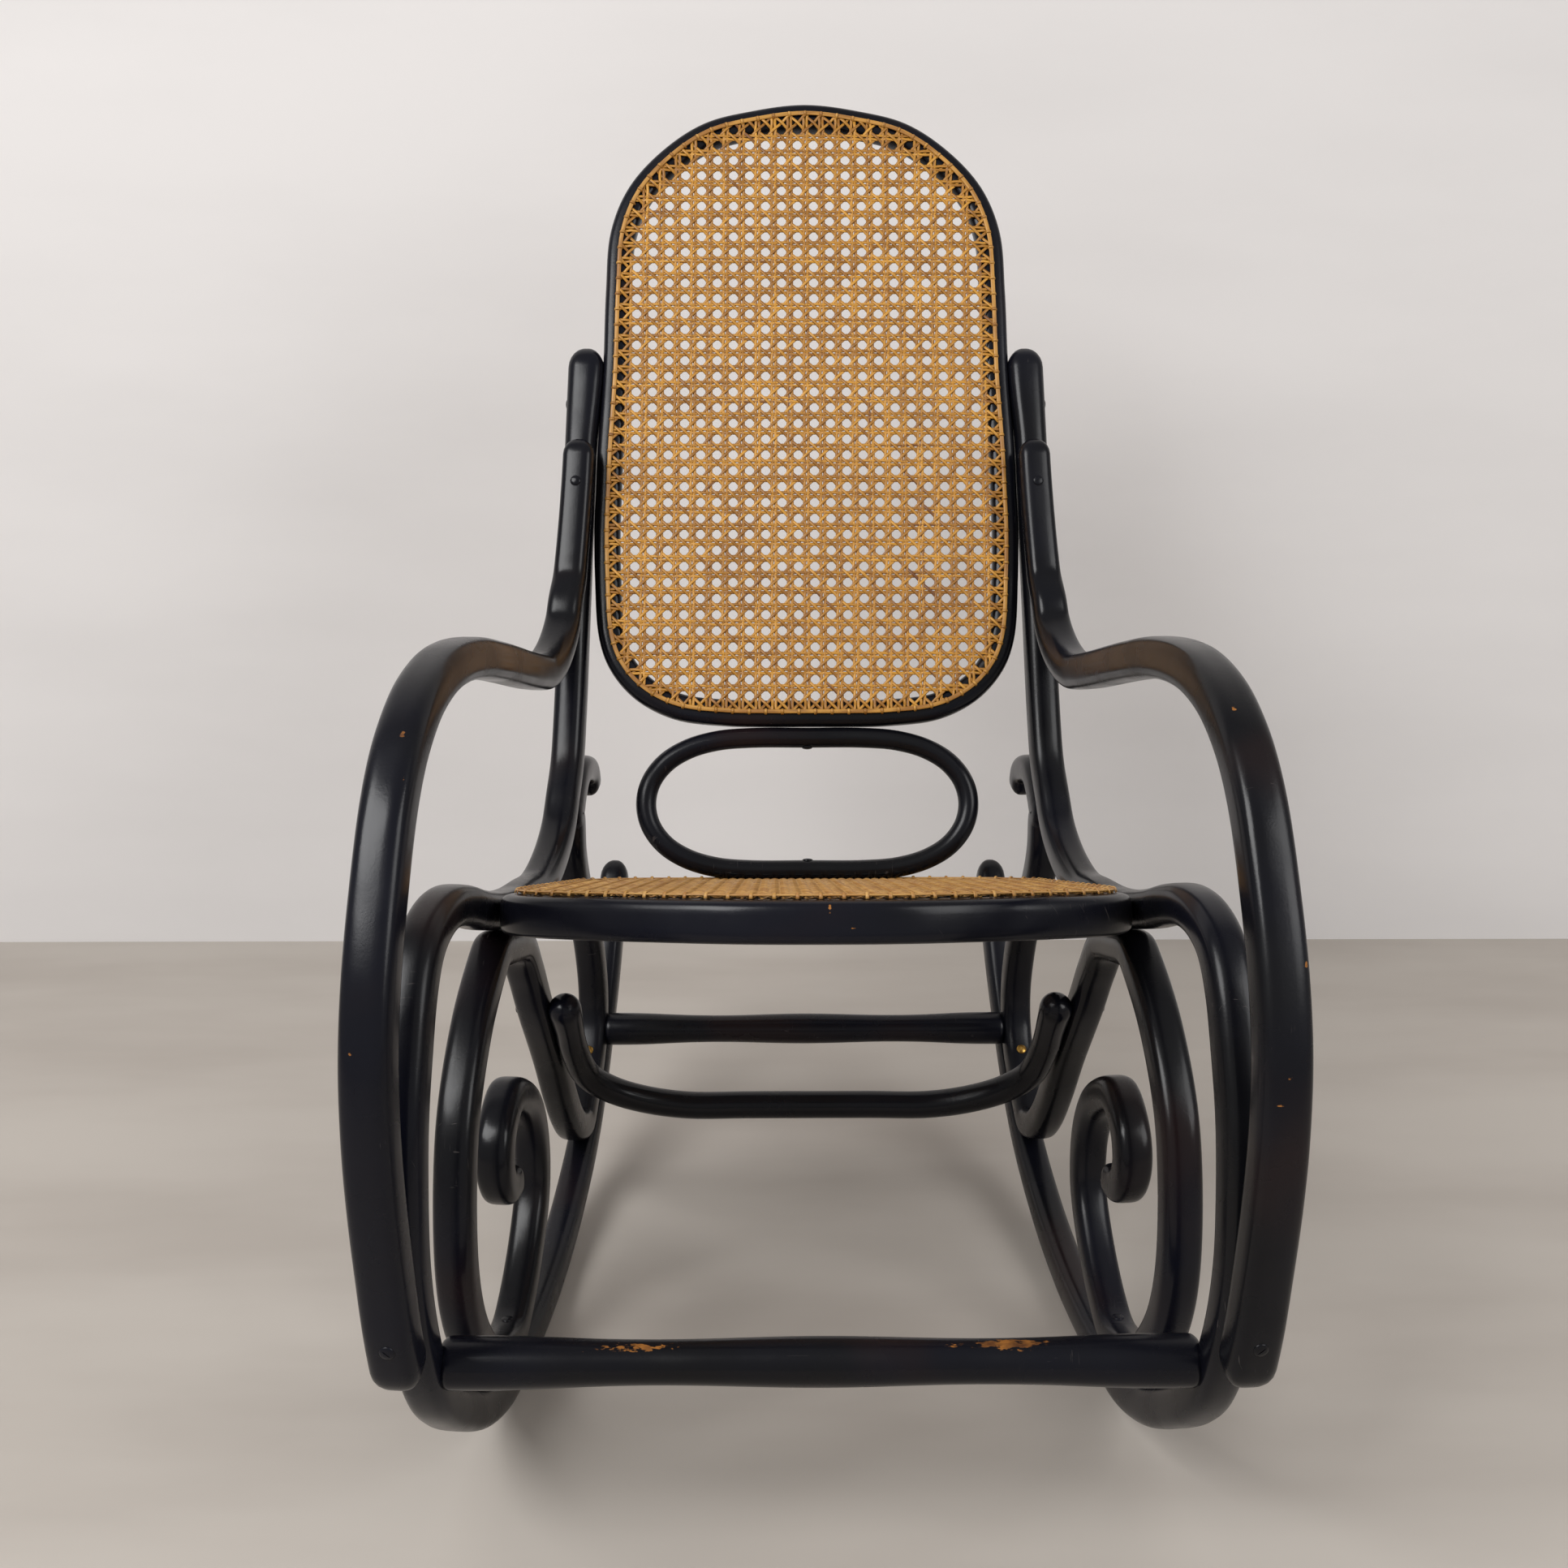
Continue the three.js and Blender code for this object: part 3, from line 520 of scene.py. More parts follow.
class Graph:
    """A material's nodes, added one after another."""

    def __init__(self, name: str) -> None:
        """Starts a material with a plain shader.

        Args:
            name: Its name.
        """
        self.material = bpy.data.materials.new(name)
        self.material.use_nodes = True
        self.tree = self.material.node_tree
        self.tree.nodes.clear()
        self.output = self.add("ShaderNodeOutputMaterial")
        self.shader = self.add("ShaderNodeBsdfPrincipled")
        self.put(self.output.inputs[0], self.shader.outputs[0])
        self.object_place = self.add("ShaderNodeTexCoord").outputs["Object"]

    def add(self, kind: str, **settings: object) -> bpy.types.Node:
        """A new node.

        Args:
            kind: Its type.
            settings: Its own settings by name.

        Returns:
            The node.
        """
        node = self.tree.nodes.new(kind)
        for key, value in settings.items():
            setattr(node, key, value)
        return node

    def put(self, socket: Socket, value: object) -> None:
        """Gives a socket a value.

        Args:
            socket: The socket.
            value: A constant, or another node's output that is joined to it.
        """
        if isinstance(value, Socket):
            self.tree.links.new(value, socket)
        else:
            socket.default_value = value

    def sum_of(self, how: str, a: object, b: object) -> Socket:
        """One sum on two values.

        Args:
            how: The node's operation.
            a: The first value.
            b: The second value.

        Returns:
            The outcome.
        """
        node = self.add("ShaderNodeMath", operation=how)
        self.put(node.inputs[0], a)
        self.put(node.inputs[1], b)
        return node.outputs[0]

    def vector(self, how: str, a: object, b: object) -> Socket:
        """One sum on two vectors.

        Args:
            how: The node's operation.
            a: The first vector.
            b: The second vector.

        Returns:
            The outcome.
        """
        node = self.add("ShaderNodeVectorMath", operation=how)
        self.put(node.inputs[0], a)
        self.put(node.inputs[1], b)
        return node.outputs["Vector"]

    def noise(self, size: float | Triple, detail: float, place: Socket | None = None) -> Socket:
        """Soft noise, about 0.5.

        Args:
            size: Its scale, or one scale for each axis.
            detail: How fine it gets.
            place: Where it is read, if not at the object's own coordinates.

        Returns:
            The noise.
        """
        place = place or self.object_place
        if isinstance(size, tuple):
            drawn_out = self.add("ShaderNodeMapping")
            self.put(drawn_out.inputs["Vector"], place)
            self.put(drawn_out.inputs["Scale"], size)
            place, size = drawn_out.outputs["Vector"], 1.0
        node = self.add("ShaderNodeTexNoise")
        for key, value in (("Vector", place), ("Scale", size), ("Detail", detail)):
            self.put(node.inputs[key], value)
        return node.outputs["Fac"]

    def span(self, value: object, low: float, high: float, least: float, most: float) -> Socket:
        """A value carried over from one range to another, held at its ends.

        Args:
            value: The value.
            low: The start of its range.
            high: The end of its range.
            least: What the start becomes.
            most: What the end becomes.

        Returns:
            The carried value.
        """
        node = self.add("ShaderNodeMapRange", interpolation_type="SMOOTHSTEP")
        for i, part in enumerate((value, low, high, least, most)):
            self.put(node.inputs[i], part)
        return node.outputs[0]

    def patterned(self, pattern: Pattern, place: Socket | None = None) -> Socket:
        """A pattern's value at a place."""
        noise = self.noise(pattern.size, pattern.detail, place)
        return self.span(noise, pattern.low, pattern.high, pattern.least, pattern.most)

    def blend(self, share: object, a: object, b: object, how: str = "MIX") -> Socket:
        """Two colours mixed by a share.

        Args:
            share: How much of the second.
            a: The first colour.
            b: The second colour.
            how: The node's way of mixing.

        Returns:
            The mixed colour.
        """
        node = self.add("ShaderNodeMix", data_type="RGBA", blend_type=how)
        for key, value in zip(("Factor", *MIX_COLOURS), (share, a, b)):
            self.put(node.inputs[key], value)
        return node.outputs[2]

    def grey(self, value: Socket) -> Socket:
        """A value as a grey colour.

        Args:
            value: The value.

        Returns:
            The colour.
        """
        node = self.add("ShaderNodeCombineColor")
        for socket in node.inputs[:3]:
            self.put(socket, value)
        return node.outputs[0]

    def shade(self, values: dict[str, object]) -> None:
        """Gives sockets of the shader their values, by their names."""
        for key, value in values.items():
            self.put(self.shader.inputs[key], value)

    def bump(self, height: Socket, depth: float, strength: float) -> None:
        """Raises the surface by a height.

        Args:
            height: The height, 0 to 1.
            depth: How deep 1 is, in metres.
            strength: How much of it shows.
        """
        node = self.add("ShaderNodeBump")
        for key, value in (("Strength", strength), ("Distance", depth), ("Height", height)):
            self.put(node.inputs[key], value)
        self.put(self.shader.inputs["Normal"], node.outputs[0])

    def clear_from_behind(self) -> None:
        """Lets sight and light through from the back of the surface."""
        clear = self.add("ShaderNodeBsdfTransparent").outputs[0]
        back = self.add("ShaderNodeNewGeometry").outputs["Backfacing"]
        either = self.add("ShaderNodeMixShader")
        for i, part in enumerate((back, self.shader.outputs[0], clear)):
            self.put(either.inputs[i], part)
        self.put(self.output.inputs[0], either.outputs[0])


@dataclass(frozen=True)
class Spot:
    """A place where the lacquer is rubbed through, and on the left arm also a painted highlight: an oval
    patch, in metres.
    """

    centre: Triple
    reach: Triple
    depth: float


WEAR_AND_HIGHLIGHT: dict[str, tuple[Spot, ...]] = {
    "front_stretcher": (
        Spot((-0.124, -0.350, 0.1915), (0.066, 0.011, 0.0072), 0.22),
        Spot((-0.16, -0.351, 0.190), (0.016, 0.008, 0.005), 0.16),
        Spot((0.126, -0.348, 0.1915), (0.06, 0.012, 0.009), 0.33),
        Spot((0.088, -0.349, 0.191), (0.022, 0.009, 0.006), 0.2),
        Spot((-0.05, -0.362, 0.186), (0.008, 0.005, 0.004), 0.2),
    ),
    "seat_frame": (
        Spot((0.0055, -0.2865, 0.4805), (0.0028, 0.006, 0.010), 0.3),
        Spot((0.0105, -0.2909, 0.4718), (0.004, 0.004, 0.006), 0.17),
        Spot((0.0213, -0.2917, 0.4681), (0.006, 0.004, 0.004), 0.13),
        Spot((0.1, -0.27, 0.481), (0.018, 0.006, 0.004), 0.22),
    ),
    "arm_left": (
        Spot((-0.2618, -0.3072, 0.6038), (0.004, 0.008, 0.010), 0.2),
        Spot((-0.2812, -0.4101, 0.4354), (0.003, 0.004, 0.006), 0.2),
        # This spot sits on the arm's inner edge where a small bright highlight falls, so its wood colour is
        # partly a rubbed spot and partly a painted highlight.
        Spot((-0.2575, -0.3305, 0.5815), (0.0025, 0.004, 0.006), 0.2),
    ),
    "arm_right": (
        Spot((0.26, -0.2889, 0.6153), (0.0035, 0.012, 0.013), 0.2),
        Spot((0.2857, -0.39, 0.4822), (0.0035, 0.004, 0.006), 0.3),
        Spot((0.2679, -0.4182, 0.4036), (0.008, 0.005, 0.007), 0.3),
        Spot((0.2738, -0.4147, 0.4203), (0.006, 0.005, 0.006), 0.2),
        Spot((0.262, -0.415, 0.372), (0.004, 0.005, 0.010), 0.15),
    ),
}


@dataclass(frozen=True)
class Lacquer:
    """Black lacquer on bent beech, with rubbed spots where the wood shows, one of them on the left arm also
    a painted highlight.
    """

    spots: tuple[Spot, ...] = ()
    black: Triple = (11, 11, 14)
    blue: Triple = (14, 15, 24)
    brown: Triple = (32, 20, 19)
    scratch: Triple = (96, 90, 88)
    wood: Triple = (158, 102, 44)
    dark_wood: Triple = (84, 50, 26)
    bluish: Pattern = Pattern(4.5, 3.0, 0.38, 0.68)
    brownish: Pattern = Pattern(7.0, 2.0, 0.56, 0.74, most=0.6)
    scratches: tuple[Triple, Triple] = ((900.0, 35.0, 70.0), (60.0, 820.0, 45.0))
    scratch_range: tuple[float, ...] = (0.7, 0.76, 0.0, 0.35)
    scratched: Pattern = Pattern(11.0, 2.0, 0.52, 0.66)
    roughness: Pattern = Pattern(16.0, 4.0, 0.3, 0.75, 0.2, 0.33)
    grain: Pattern = Pattern((60.0, 60.0, 420.0), 3.0, 0.4, 0.65)
    ragged: Triple = (170.0, 420.0, 420.0)
    ragged_detail: float = 5.0
    rim: float = -0.35
    rim_range: Pair = (0.62, 0.7)
    spot_share: float = 0.88
    spot_roughness: float = 0.28
    shine: float = 0.22
    fine_detail: float = 2.0
    waves: float = 38.0
    pores: float = 620.0
    pore_share: float = 0.2

    def wear_and_highlight_mask(self, graph: Graph) -> Socket | None:
        """How far the lacquer is rubbed through, with one spot on the left arm that is also a painted
        highlight.

        Args:
            graph: The material's nodes.

        Returns:
            The mask, 0 to 1, or None where the lacquer is whole.
        """
        if not self.spots:
            return None
        mask = None
        ragged = graph.noise(self.ragged, self.ragged_detail)
        for spot in self.spots:
            away = graph.vector("SUBTRACT", graph.object_place, spot.centre)
            length = graph.add("ShaderNodeVectorMath", operation="LENGTH")
            graph.put(length.inputs[0], graph.vector("DIVIDE", away, spot.reach))
            near = graph.span(length.outputs["Value"], 0.0, 1.0, spot.depth, self.rim)
            bare_and_highlight = graph.span(graph.sum_of("ADD", near, ragged), *self.rim_range, 0.0, 1.0)
            mask = bare_and_highlight if mask is None else graph.sum_of("MAXIMUM", mask, bare_and_highlight)
        return mask

    def material(self, name: str) -> bpy.types.Material:
        """The finished material.

        Args:
            name: Its name.

        Returns:
            The material.
        """
        graph = Graph(name)
        colour = graph.blend(graph.patterned(self.bluish), srgb(*self.black), srgb(*self.blue))
        colour = graph.blend(graph.patterned(self.brownish), colour, srgb(*self.brown))
        hairs = [graph.noise(size, self.fine_detail) for size in self.scratches]
        lines = graph.span(graph.sum_of("MAXIMUM", *hairs), *self.scratch_range)
        lines = graph.sum_of("MULTIPLY", lines, graph.patterned(self.scratched))
        colour = graph.blend(lines, colour, srgb(*self.scratch))
        rough = graph.patterned(self.roughness)
        mask = self.wear_and_highlight_mask(graph)
        if mask is not None:
            wood = graph.blend(graph.patterned(self.grain), srgb(*self.wood), srgb(*self.dark_wood))
            colour = graph.blend(graph.sum_of("MULTIPLY", mask, self.spot_share), colour, wood)
            rough = graph.sum_of("ADD", rough, graph.sum_of("MULTIPLY", mask, self.spot_roughness))
        graph.shade({"Base Color": colour, "Roughness": rough, "Specular IOR Level": self.shine})
        waves = graph.sum_of("MULTIPLY", graph.noise(self.waves, self.fine_detail), 1 - self.pore_share)
        pores = graph.sum_of("MULTIPLY", graph.noise(self.pores, self.fine_detail), self.pore_share)
        graph.bump(graph.sum_of("ADD", waves, pores), depth=0.0012, strength=0.16)
        return graph.material


@dataclass(frozen=True)
class Cane:
    """Split cane: glossy strands of uneven gold with brown runs along them."""

    pale: Triple = (206, 149, 54)
    middle: Triple = (177, 122, 36)
    deep: Triple = (136, 87, 27)
    brown: Triple = (94, 50, 30)
    apart: float = 37.0
    runs: Pattern = Pattern((26.0, 1.2, 1.0), 3.0, 0.42, 0.62, most=0.85)
    stains: Pattern = Pattern((11.0, 0.8, 1.7), 2.0, 0.64, 0.76, most=0.8)
    patches: Pattern = Pattern(13.0, 3.0, 0.5, 0.75, most=0.3)
    fibres: Triple = (45.0, 26.0, 1.0)
    fibre_detail: float = 2.0
    fibre_range: Pair = (0.3, 0.7)
    fibre_shade: Pair = (0.82, 1.08)
    fibre_roughness: Pair = (0.34, 0.52)

    def material(self, name: str) -> bpy.types.Material:
        """The finished material, which follows each strand.

        Args:
            name: Its name.

        Returns:
            The material.
        """
        graph = Graph(name)
        way = graph.add("ShaderNodeUVMap", uv_map="UVMap").outputs[0]
        strand = graph.add("ShaderNodeAttribute", attribute_name="strand").outputs["Fac"]
        shift = graph.add("ShaderNodeCombineXYZ")
        graph.put(shift.inputs[2], graph.sum_of("MULTIPLY", strand, self.apart))
        place = graph.vector("ADD", way, shift.outputs[0])
        tone = graph.span(strand, 0.0, 1.0, 0.0, 1.0)
        colour = graph.blend(tone, srgb(*self.middle), srgb(*self.pale))
        colour = graph.blend(graph.patterned(self.runs, place), colour, srgb(*self.deep))
        colour = graph.blend(graph.patterned(self.stains, place), colour, srgb(*self.brown))
        colour = graph.blend(graph.patterned(self.patches), colour, srgb(*self.deep))
        fibres = graph.noise(self.fibres, self.fibre_detail, place)
        shade = graph.span(fibres, *self.fibre_range, *self.fibre_shade)
        colour = graph.blend(1.0, colour, graph.grey(shade), "MULTIPLY")
        rough = graph.span(fibres, *self.fibre_range, *self.fibre_roughness)
        graph.shade({"Base Color": colour, "Roughness": rough})
        graph.bump(fibres, depth=0.0003, strength=0.4)
        return graph.material


@dataclass(frozen=True)
class Brass:
    """Screw brass, dulled unevenly."""

    bright: Triple = (190, 150, 78)
    dull: Triple = (122, 92, 46)
    tarnish: float = 240.0
    tarnish_detail: float = 3.0
    dull_range: tuple[float, ...] = (0.4, 0.65, 0.0, 1.0)
    rough_range: tuple[float, ...] = (0.3, 0.7, 0.28, 0.48)

    def material(self, name: str) -> bpy.types.Material:
        """The finished material.

        Args:
            name: Its name.

        Returns:
            The material.
        """
        graph = Graph(name)
        tarnish = graph.noise(self.tarnish, self.tarnish_detail)
        dulled = graph.span(tarnish, *self.dull_range)
        colour = graph.blend(dulled, srgb(*self.bright), srgb(*self.dull))
        rough = graph.span(tarnish, *self.rough_range)
        graph.shade({"Base Color": colour, "Roughness": rough, "Metallic": 1.0})
        graph.bump(tarnish, depth=0.0002, strength=0.3)
        return graph.material


@dataclass(frozen=True)
class Matt:
    """A matt surface of the room with faint clouds."""

    colour: Triple
    cloud: Triple
    one_sided: bool = False
    clouds: Pattern = Pattern((1.4, 5.0, 1.4), 4.0, 0.35, 0.75)
    roughness: float = 0.55
    shine: float = 0.2

    def material(self, name: str) -> bpy.types.Material:
        """The finished material.

        Args:
            name: Its name.

        Returns:
            The material.
        """
        graph = Graph(name)
        colour = graph.blend(graph.patterned(self.clouds), srgb(*self.colour), srgb(*self.cloud))
        graph.shade({"Base Color": colour, "Roughness": self.roughness, "Specular IOR Level": self.shine})
        if self.one_sided:
            graph.clear_from_behind()
        return graph.material


def dress(piece: bpy.types.Object, material: bpy.types.Material, slot: Slot, *nodes: str) -> None:
    """Gives a finished piece its material and its body, and hides the CAD nodes that it stands for.

    Args:
        piece: The piece, in place.
        material: Its material.
        slot: The record's finish; not used.
        nodes: The CAD nodes that it replaces.
    """
    piece.data.materials.clear()
    piece.data.materials.append(material)
    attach(piece, BODY)
    if nodes:
        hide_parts(*nodes)
    LOG.info("%s: %d faces", piece.name, len(piece.data.polygons))


def lacquer(piece: bpy.types.Object, node: str) -> None:
    """Lacquers a piece in place that stands for one CAD node, with that node's rubbed spots, which on the
    left arm include a painted highlight.
    """
    finish = Lacquer(spots=WEAR_AND_HIGHLIGHT.get(node, ()))
    dress(piece, finish.material(node + "_lacquer"), Slot.LACQUER, node)


# Side frames


# Points of the bends, as shares of the loop's depth and height or of the arm's height.
RAIL_LOOP: Shares = (
    (0.209, 0.978), (0.178, 0.925), (0.144, 0.873), (0.09, 0.837), (0.022, 0.824), (-0.037, 0.841),
    (-0.101, 0.862), (-0.159, 0.89), (-0.227, 0.933), (-0.279, 0.972), (-0.323, 0.996), (-0.364, 1.0),
    (-0.4, 0.983), (-0.428, 0.938), (-0.454, 0.86), (-0.476, 0.776), (-0.491, 0.673), (-0.498, 0.566),
    (-0.488, 0.447), (-0.46, 0.331), (-0.427, 0.263), (-0.385, 0.201), (-0.322, 0.124),
)
RUNNER = (-0.25, -0.187, -0.127, -0.067, -0.02, 0.06, 0.14, 0.215)
RUNNER_CONTACT = -0.047
TAIL: Shares = ((0.28, 0.187), (0.347, 0.28), (0.413, 0.391), (0.467, 0.503), (0.512, 0.6))
ARM_SWEEP: Shares = (
    (0.241, 0.966), (0.226, 0.937), (0.198, 0.913), (0.16, 0.897), (0.112, 0.893), (0.07, 0.904),
    (0.009, 0.924), (-0.054, 0.946), (-0.111, 0.965), (-0.175, 0.984), (-0.24, 0.995), (-0.292, 0.995),
    (-0.345, 0.982), (-0.384, 0.96), (-0.413, 0.935), (-0.443, 0.896), (-0.479, 0.828), (-0.51, 0.756),
    (-0.53, 0.686), (-0.5405, 0.608), (-0.543, 0.53),
)
SCROLL_CURL: Shares = (
    (-0.1475, 0.395), (-0.167, 0.39), (-0.188, 0.399), (-0.203, 0.426), (-0.209, 0.465), (-0.197, 0.51),
    (-0.157, 0.542), (-0.11, 0.505), (-0.076, 0.45), (-0.057, 0.37), (-0.063, 0.28), (-0.1, 0.204),
    (-0.158, 0.138),
)
SCROLL_FRONT: Shares = (
    (-0.279, 0.168), (-0.323, 0.248), (-0.35, 0.335), (-0.359, 0.43), (-0.347, 0.563), (-0.321, 0.662),
    (-0.26, 0.762), (-0.19, 0.8215),
)
SCROLL_FALL: Shares = (
    (-0.08, 0.775), (-0.047, 0.705), (-0.012, 0.61), (0.05, 0.457), (0.088, 0.351), (0.126, 0.262),
    (0.16, 0.21),
)
SCROLL_LEG: Shares = (
    (0.308, 0.333), (0.316, 0.409), (0.304, 0.505), (0.281, 0.591), (0.247, 0.66), (0.222, 0.728),
    (0.208, 0.795), (0.208, 0.857),
)
SCROLL_HOOK: Shares = ((0.25, 0.932), (0.283, 0.932), (0.32, 0.905), (0.33, 0.855))

# Where the arm and the scroll lie on the rail, and the places just off it, counted in the rail's points.
ARM_TOP = Contact(0.8, 1.7, 5)
ARM_LEAVES = 1.88
ARM_FOOT = Contact(20.9, 22.05, 3)
SCROLL_FOOT = 27.7
ARCH_NEARS = 11.07
ARCH = Contact(10.86, 10.5, 3)
HEEL_NEARS = 34.05
HEEL = Contact(34.35, 35.45, 4)
WAIST = Contact(5.1, 4.65, 2)


@dataclass
class SideFrames:
    """The two side frames: rail, arm and scroll on each side, coplanar and toed in."""

    rail: Rod = Rod(30.0, 30.0, 3.0, sides=36, steps=7)
    arm: Rod = Rod(31.0, 33.0, 3.4, sides=36, steps=9)
    scroll: Rod = Rod(29.0, 29.0, 3.4)
    half_spread: float = 238.0
    toe_in: float = math.radians(4.5)
    loop_depth: float = 766.0
    loop_height: float = 465.0
    arm_height: float = 625.0
    runner_front_radius: float = 700.0
    runner_rear_radius: float = 500.0
    runner_flat: float = 0.5
    leave_gap: float = 1.0
    arch_drop: float = 2.0
    dome: float = 21.0
    stile_extra: float = 4.5
    stile_zone: Pair = (0.004, 0.022)
    arm_end_thick: float = 0.76
    arm_end_wide: float = 1.16
    arm_zone: Pair = (0.1, 0.4)
    arm_outset: float = 4.0
    arm_goes_out: Pair = (0.0, 0.4)
    arm_comes_in: Pair = (0.8, 1.0)
    scroll_end_share: float = 0.88
    scroll_zone: float = 0.08
    stile: Sequence[Pair] = ()
    frame: Matrix = field(init=False)
    rail_bend: Bend = field(init=False)
    arm_bend: Bend = field(init=False)
    scroll_bend: Bend = field(init=False)

    def __post_init__(self) -> None:
        """Draws the three bends, each held against the rail where the real ones touch."""
        c, s = math.cos(self.toe_in), math.sin(self.toe_in)
        self.frame = Matrix(((-s, 0, c, self.half_spread), (c, 0, s, 0), (0, 1, 0, 0), (0, 0, 0, 1)))
        runner = [self.runner_point(share) for share in RUNNER]
        rail = Bend([*self.stile, *self.placed(RAIL_LOOP), *runner, *self.placed(TAIL)])
        self.rail_bend = rail
        nest = (self.rail.in_bend + self.arm.in_bend) / 2 + GAP
        top_nest = (self.rail.in_bend + self.arm.in_bend * self.arm_end_thick) / 2 + GAP
        self.arm_bend = Bend([
            *rail.run(ARM_TOP, -top_nest),
            rail.beside(ARM_LEAVES, -top_nest - self.leave_gap),
            *scaled(ARM_SWEEP, self.loop_depth, self.arm_height),
            *rail.run(ARM_FOOT, -nest),
        ])
        side = (self.rail.in_bend + self.scroll.in_bend) / 2 + GAP
        self.scroll_bend = Bend([
            *self.placed(SCROLL_CURL),
            rail.beside(SCROLL_FOOT, side),
            *self.placed(SCROLL_FRONT),
            rail.beside(ARCH_NEARS, side + self.arch_drop),
            *rail.run(ARCH, side),
            *self.placed(SCROLL_FALL),
            rail.beside(HEEL_NEARS, side + self.leave_gap),
            *rail.run(HEEL, side),
            *self.placed(SCROLL_LEG),
            *rail.run(WAIST, side),
            *self.placed(SCROLL_HOOK),
        ])

    def placed(self, shares: Shares) -> list[Pair]:
        """Shares of the loop as points."""
        return scaled(shares, self.loop_depth, self.loop_height)

    def runner_point(self, share: float) -> Pair:
        """A point of the runner's centre line.

        Args:
            share: Its depth as a share of the loop's depth.

        Returns:
            Its depth and height.
        """
        out = (share - RUNNER_CONTACT) * self.loop_depth
        radius = self.runner_front_radius if out < 0 else self.runner_rear_radius
        rise = radius - math.sqrt(radius**2 - out**2)
        return share * self.loop_depth, self.rail.in_bend / 2 + rise - self.runner_flat

    def stile_shift(self, share: float) -> float:
        """How far out the rail's middle lies at a share, below 0 where the stile's top is wider inward."""
        return -self.stile_extra * (1 - smoothstep(share, *self.stile_zone)) / 2

    def stile_scale(self, share: float) -> float:
        """How wide the rail is at a share."""
        return 1 - 2 * self.stile_shift(share) / self.rail.across

    def arm_scale(self, share: float) -> float:
        """How full the arm is at a share."""
        return mix(self.arm_end_thick, 1, smoothstep(share, *self.arm_zone))

    def arm_wider(self, share: float) -> float:
        """How much the arm is widened across the chair at a share."""
        return mix(self.arm_end_wide, 1, smoothstep(share, *self.arm_zone))

    def arm_drift(self, share: float) -> float:
        """How far out of the rail's plane the arm lies at a share."""
        out, back = smoothstep(share, *self.arm_goes_out), smoothstep(share, *self.arm_comes_in)
        return self.arm_outset * (2 * out - 1 - back)

    def arm_shift(self, share: float) -> float:
        """How far the arm moves back at a share after it is widened."""
        return (1 - self.arm_wider(share)) * self.arm_drift(share)

    def scroll_scale(self, share: float) -> float:
        """How full the scroll is at a share."""
        return mix(self.scroll_end_share, 1, min(1.0, min(share, 1 - share) / self.scroll_zone))

    def inner_face(self, depth: float) -> float:
        """How far from the chair's middle the rail's inner face stands at a depth."""
        half = self.rail.across / 2
        return self.half_spread - depth * math.tan(self.toe_in) - half / math.cos(self.toe_in)

    def build(self) -> None:
        """Makes both sides."""
        route = open_route(self.rail_bend, self.rail.steps, self.dome)
        rail = swept("side_rail_right_wood", [route], self.rail.section())
        widen(rail.data, route, self.stile_scale, self.stile_shift)
        self.finish_pair(rail, "side_rail")
        route = open_route(self.arm_bend, self.arm.steps, self.dome, self.arm_scale, self.arm_drift)
        arm = swept("arm_right_wood", [route], self.arm.section())
        widen(arm.data, route, self.arm_wider, self.arm_shift)
        self.finish_pair(arm, "arm")
        half = self.scroll.in_bend / 2
        route = open_route(self.scroll_bend, self.scroll.steps, half, self.scroll_scale)
        self.finish_pair(swept("scroll_right_wood", [route], self.scroll.section()), "scroll")

    def finish_pair(self, piece: bpy.types.Object, name: str) -> None:
        """Sets a right piece down, flattens it where it stands, mirrors it and lacquers both.

        Args:
            piece: The right piece, in the side's own frame.
            name: The pair's name.
        """
        set_down(piece, self.frame)
        for vertex in piece.data.vertices:
            vertex.co.z = max(vertex.co.z, 0.0)
        other = other_side(piece, name + "_left_wood")
        lacquer(piece, name + "_right")
        lacquer(other, name + "_left")


# Seat, oval and back rings


@dataclass
class Ring:
    """One bent ring: its CAD node, its rod, the frame that it lies in and its line there."""

    node: str
    rod: Rod
    frame: Matrix
    bend: Bend


@dataclass(frozen=True)
class Outline:
    """Half a ring's line.

    Points before and after the side are shares of the half width, measured at one place, and of the
    length. Points beside the rail are shares of the length.
    """

    before: Shares
    beside: Sequence[float]
    after: Shares
    widest: float

    def ring(self, node: str, rod: Rod, frame: Matrix, ends: Pair, sides: SideFrames) -> Ring:
        """The ring between the side frames.

        Args:
            node: Its CAD node.
            rod: Its rod.
            frame: The frame that it lies in.
            ends: Where the shares 0 and 1 of its length lie.
            sides: The side frames.

        Returns:
            The ring.
        """
        start, length = ends[0], ends[1] - ends[0]

        def beside_rail(share: float) -> Pair:
            """The point beside the rail at a share of the length."""
            along = start + share * length
            depth = (frame @ Vector((0, along, 0))).y
            return sides.inner_face(depth) - GAP - rod.in_bend / 2, along

        half = beside_rail(self.widest)[0]
        before = [(across * half, start + share * length) for across, share in self.before]
        beside = [beside_rail(share) for share in self.beside]
        after = [(across * half, start + share * length) for across, share in self.after]
        return Ring(node, rod, frame, Bend(mirrored([*before, *beside, *after]), closed=True))


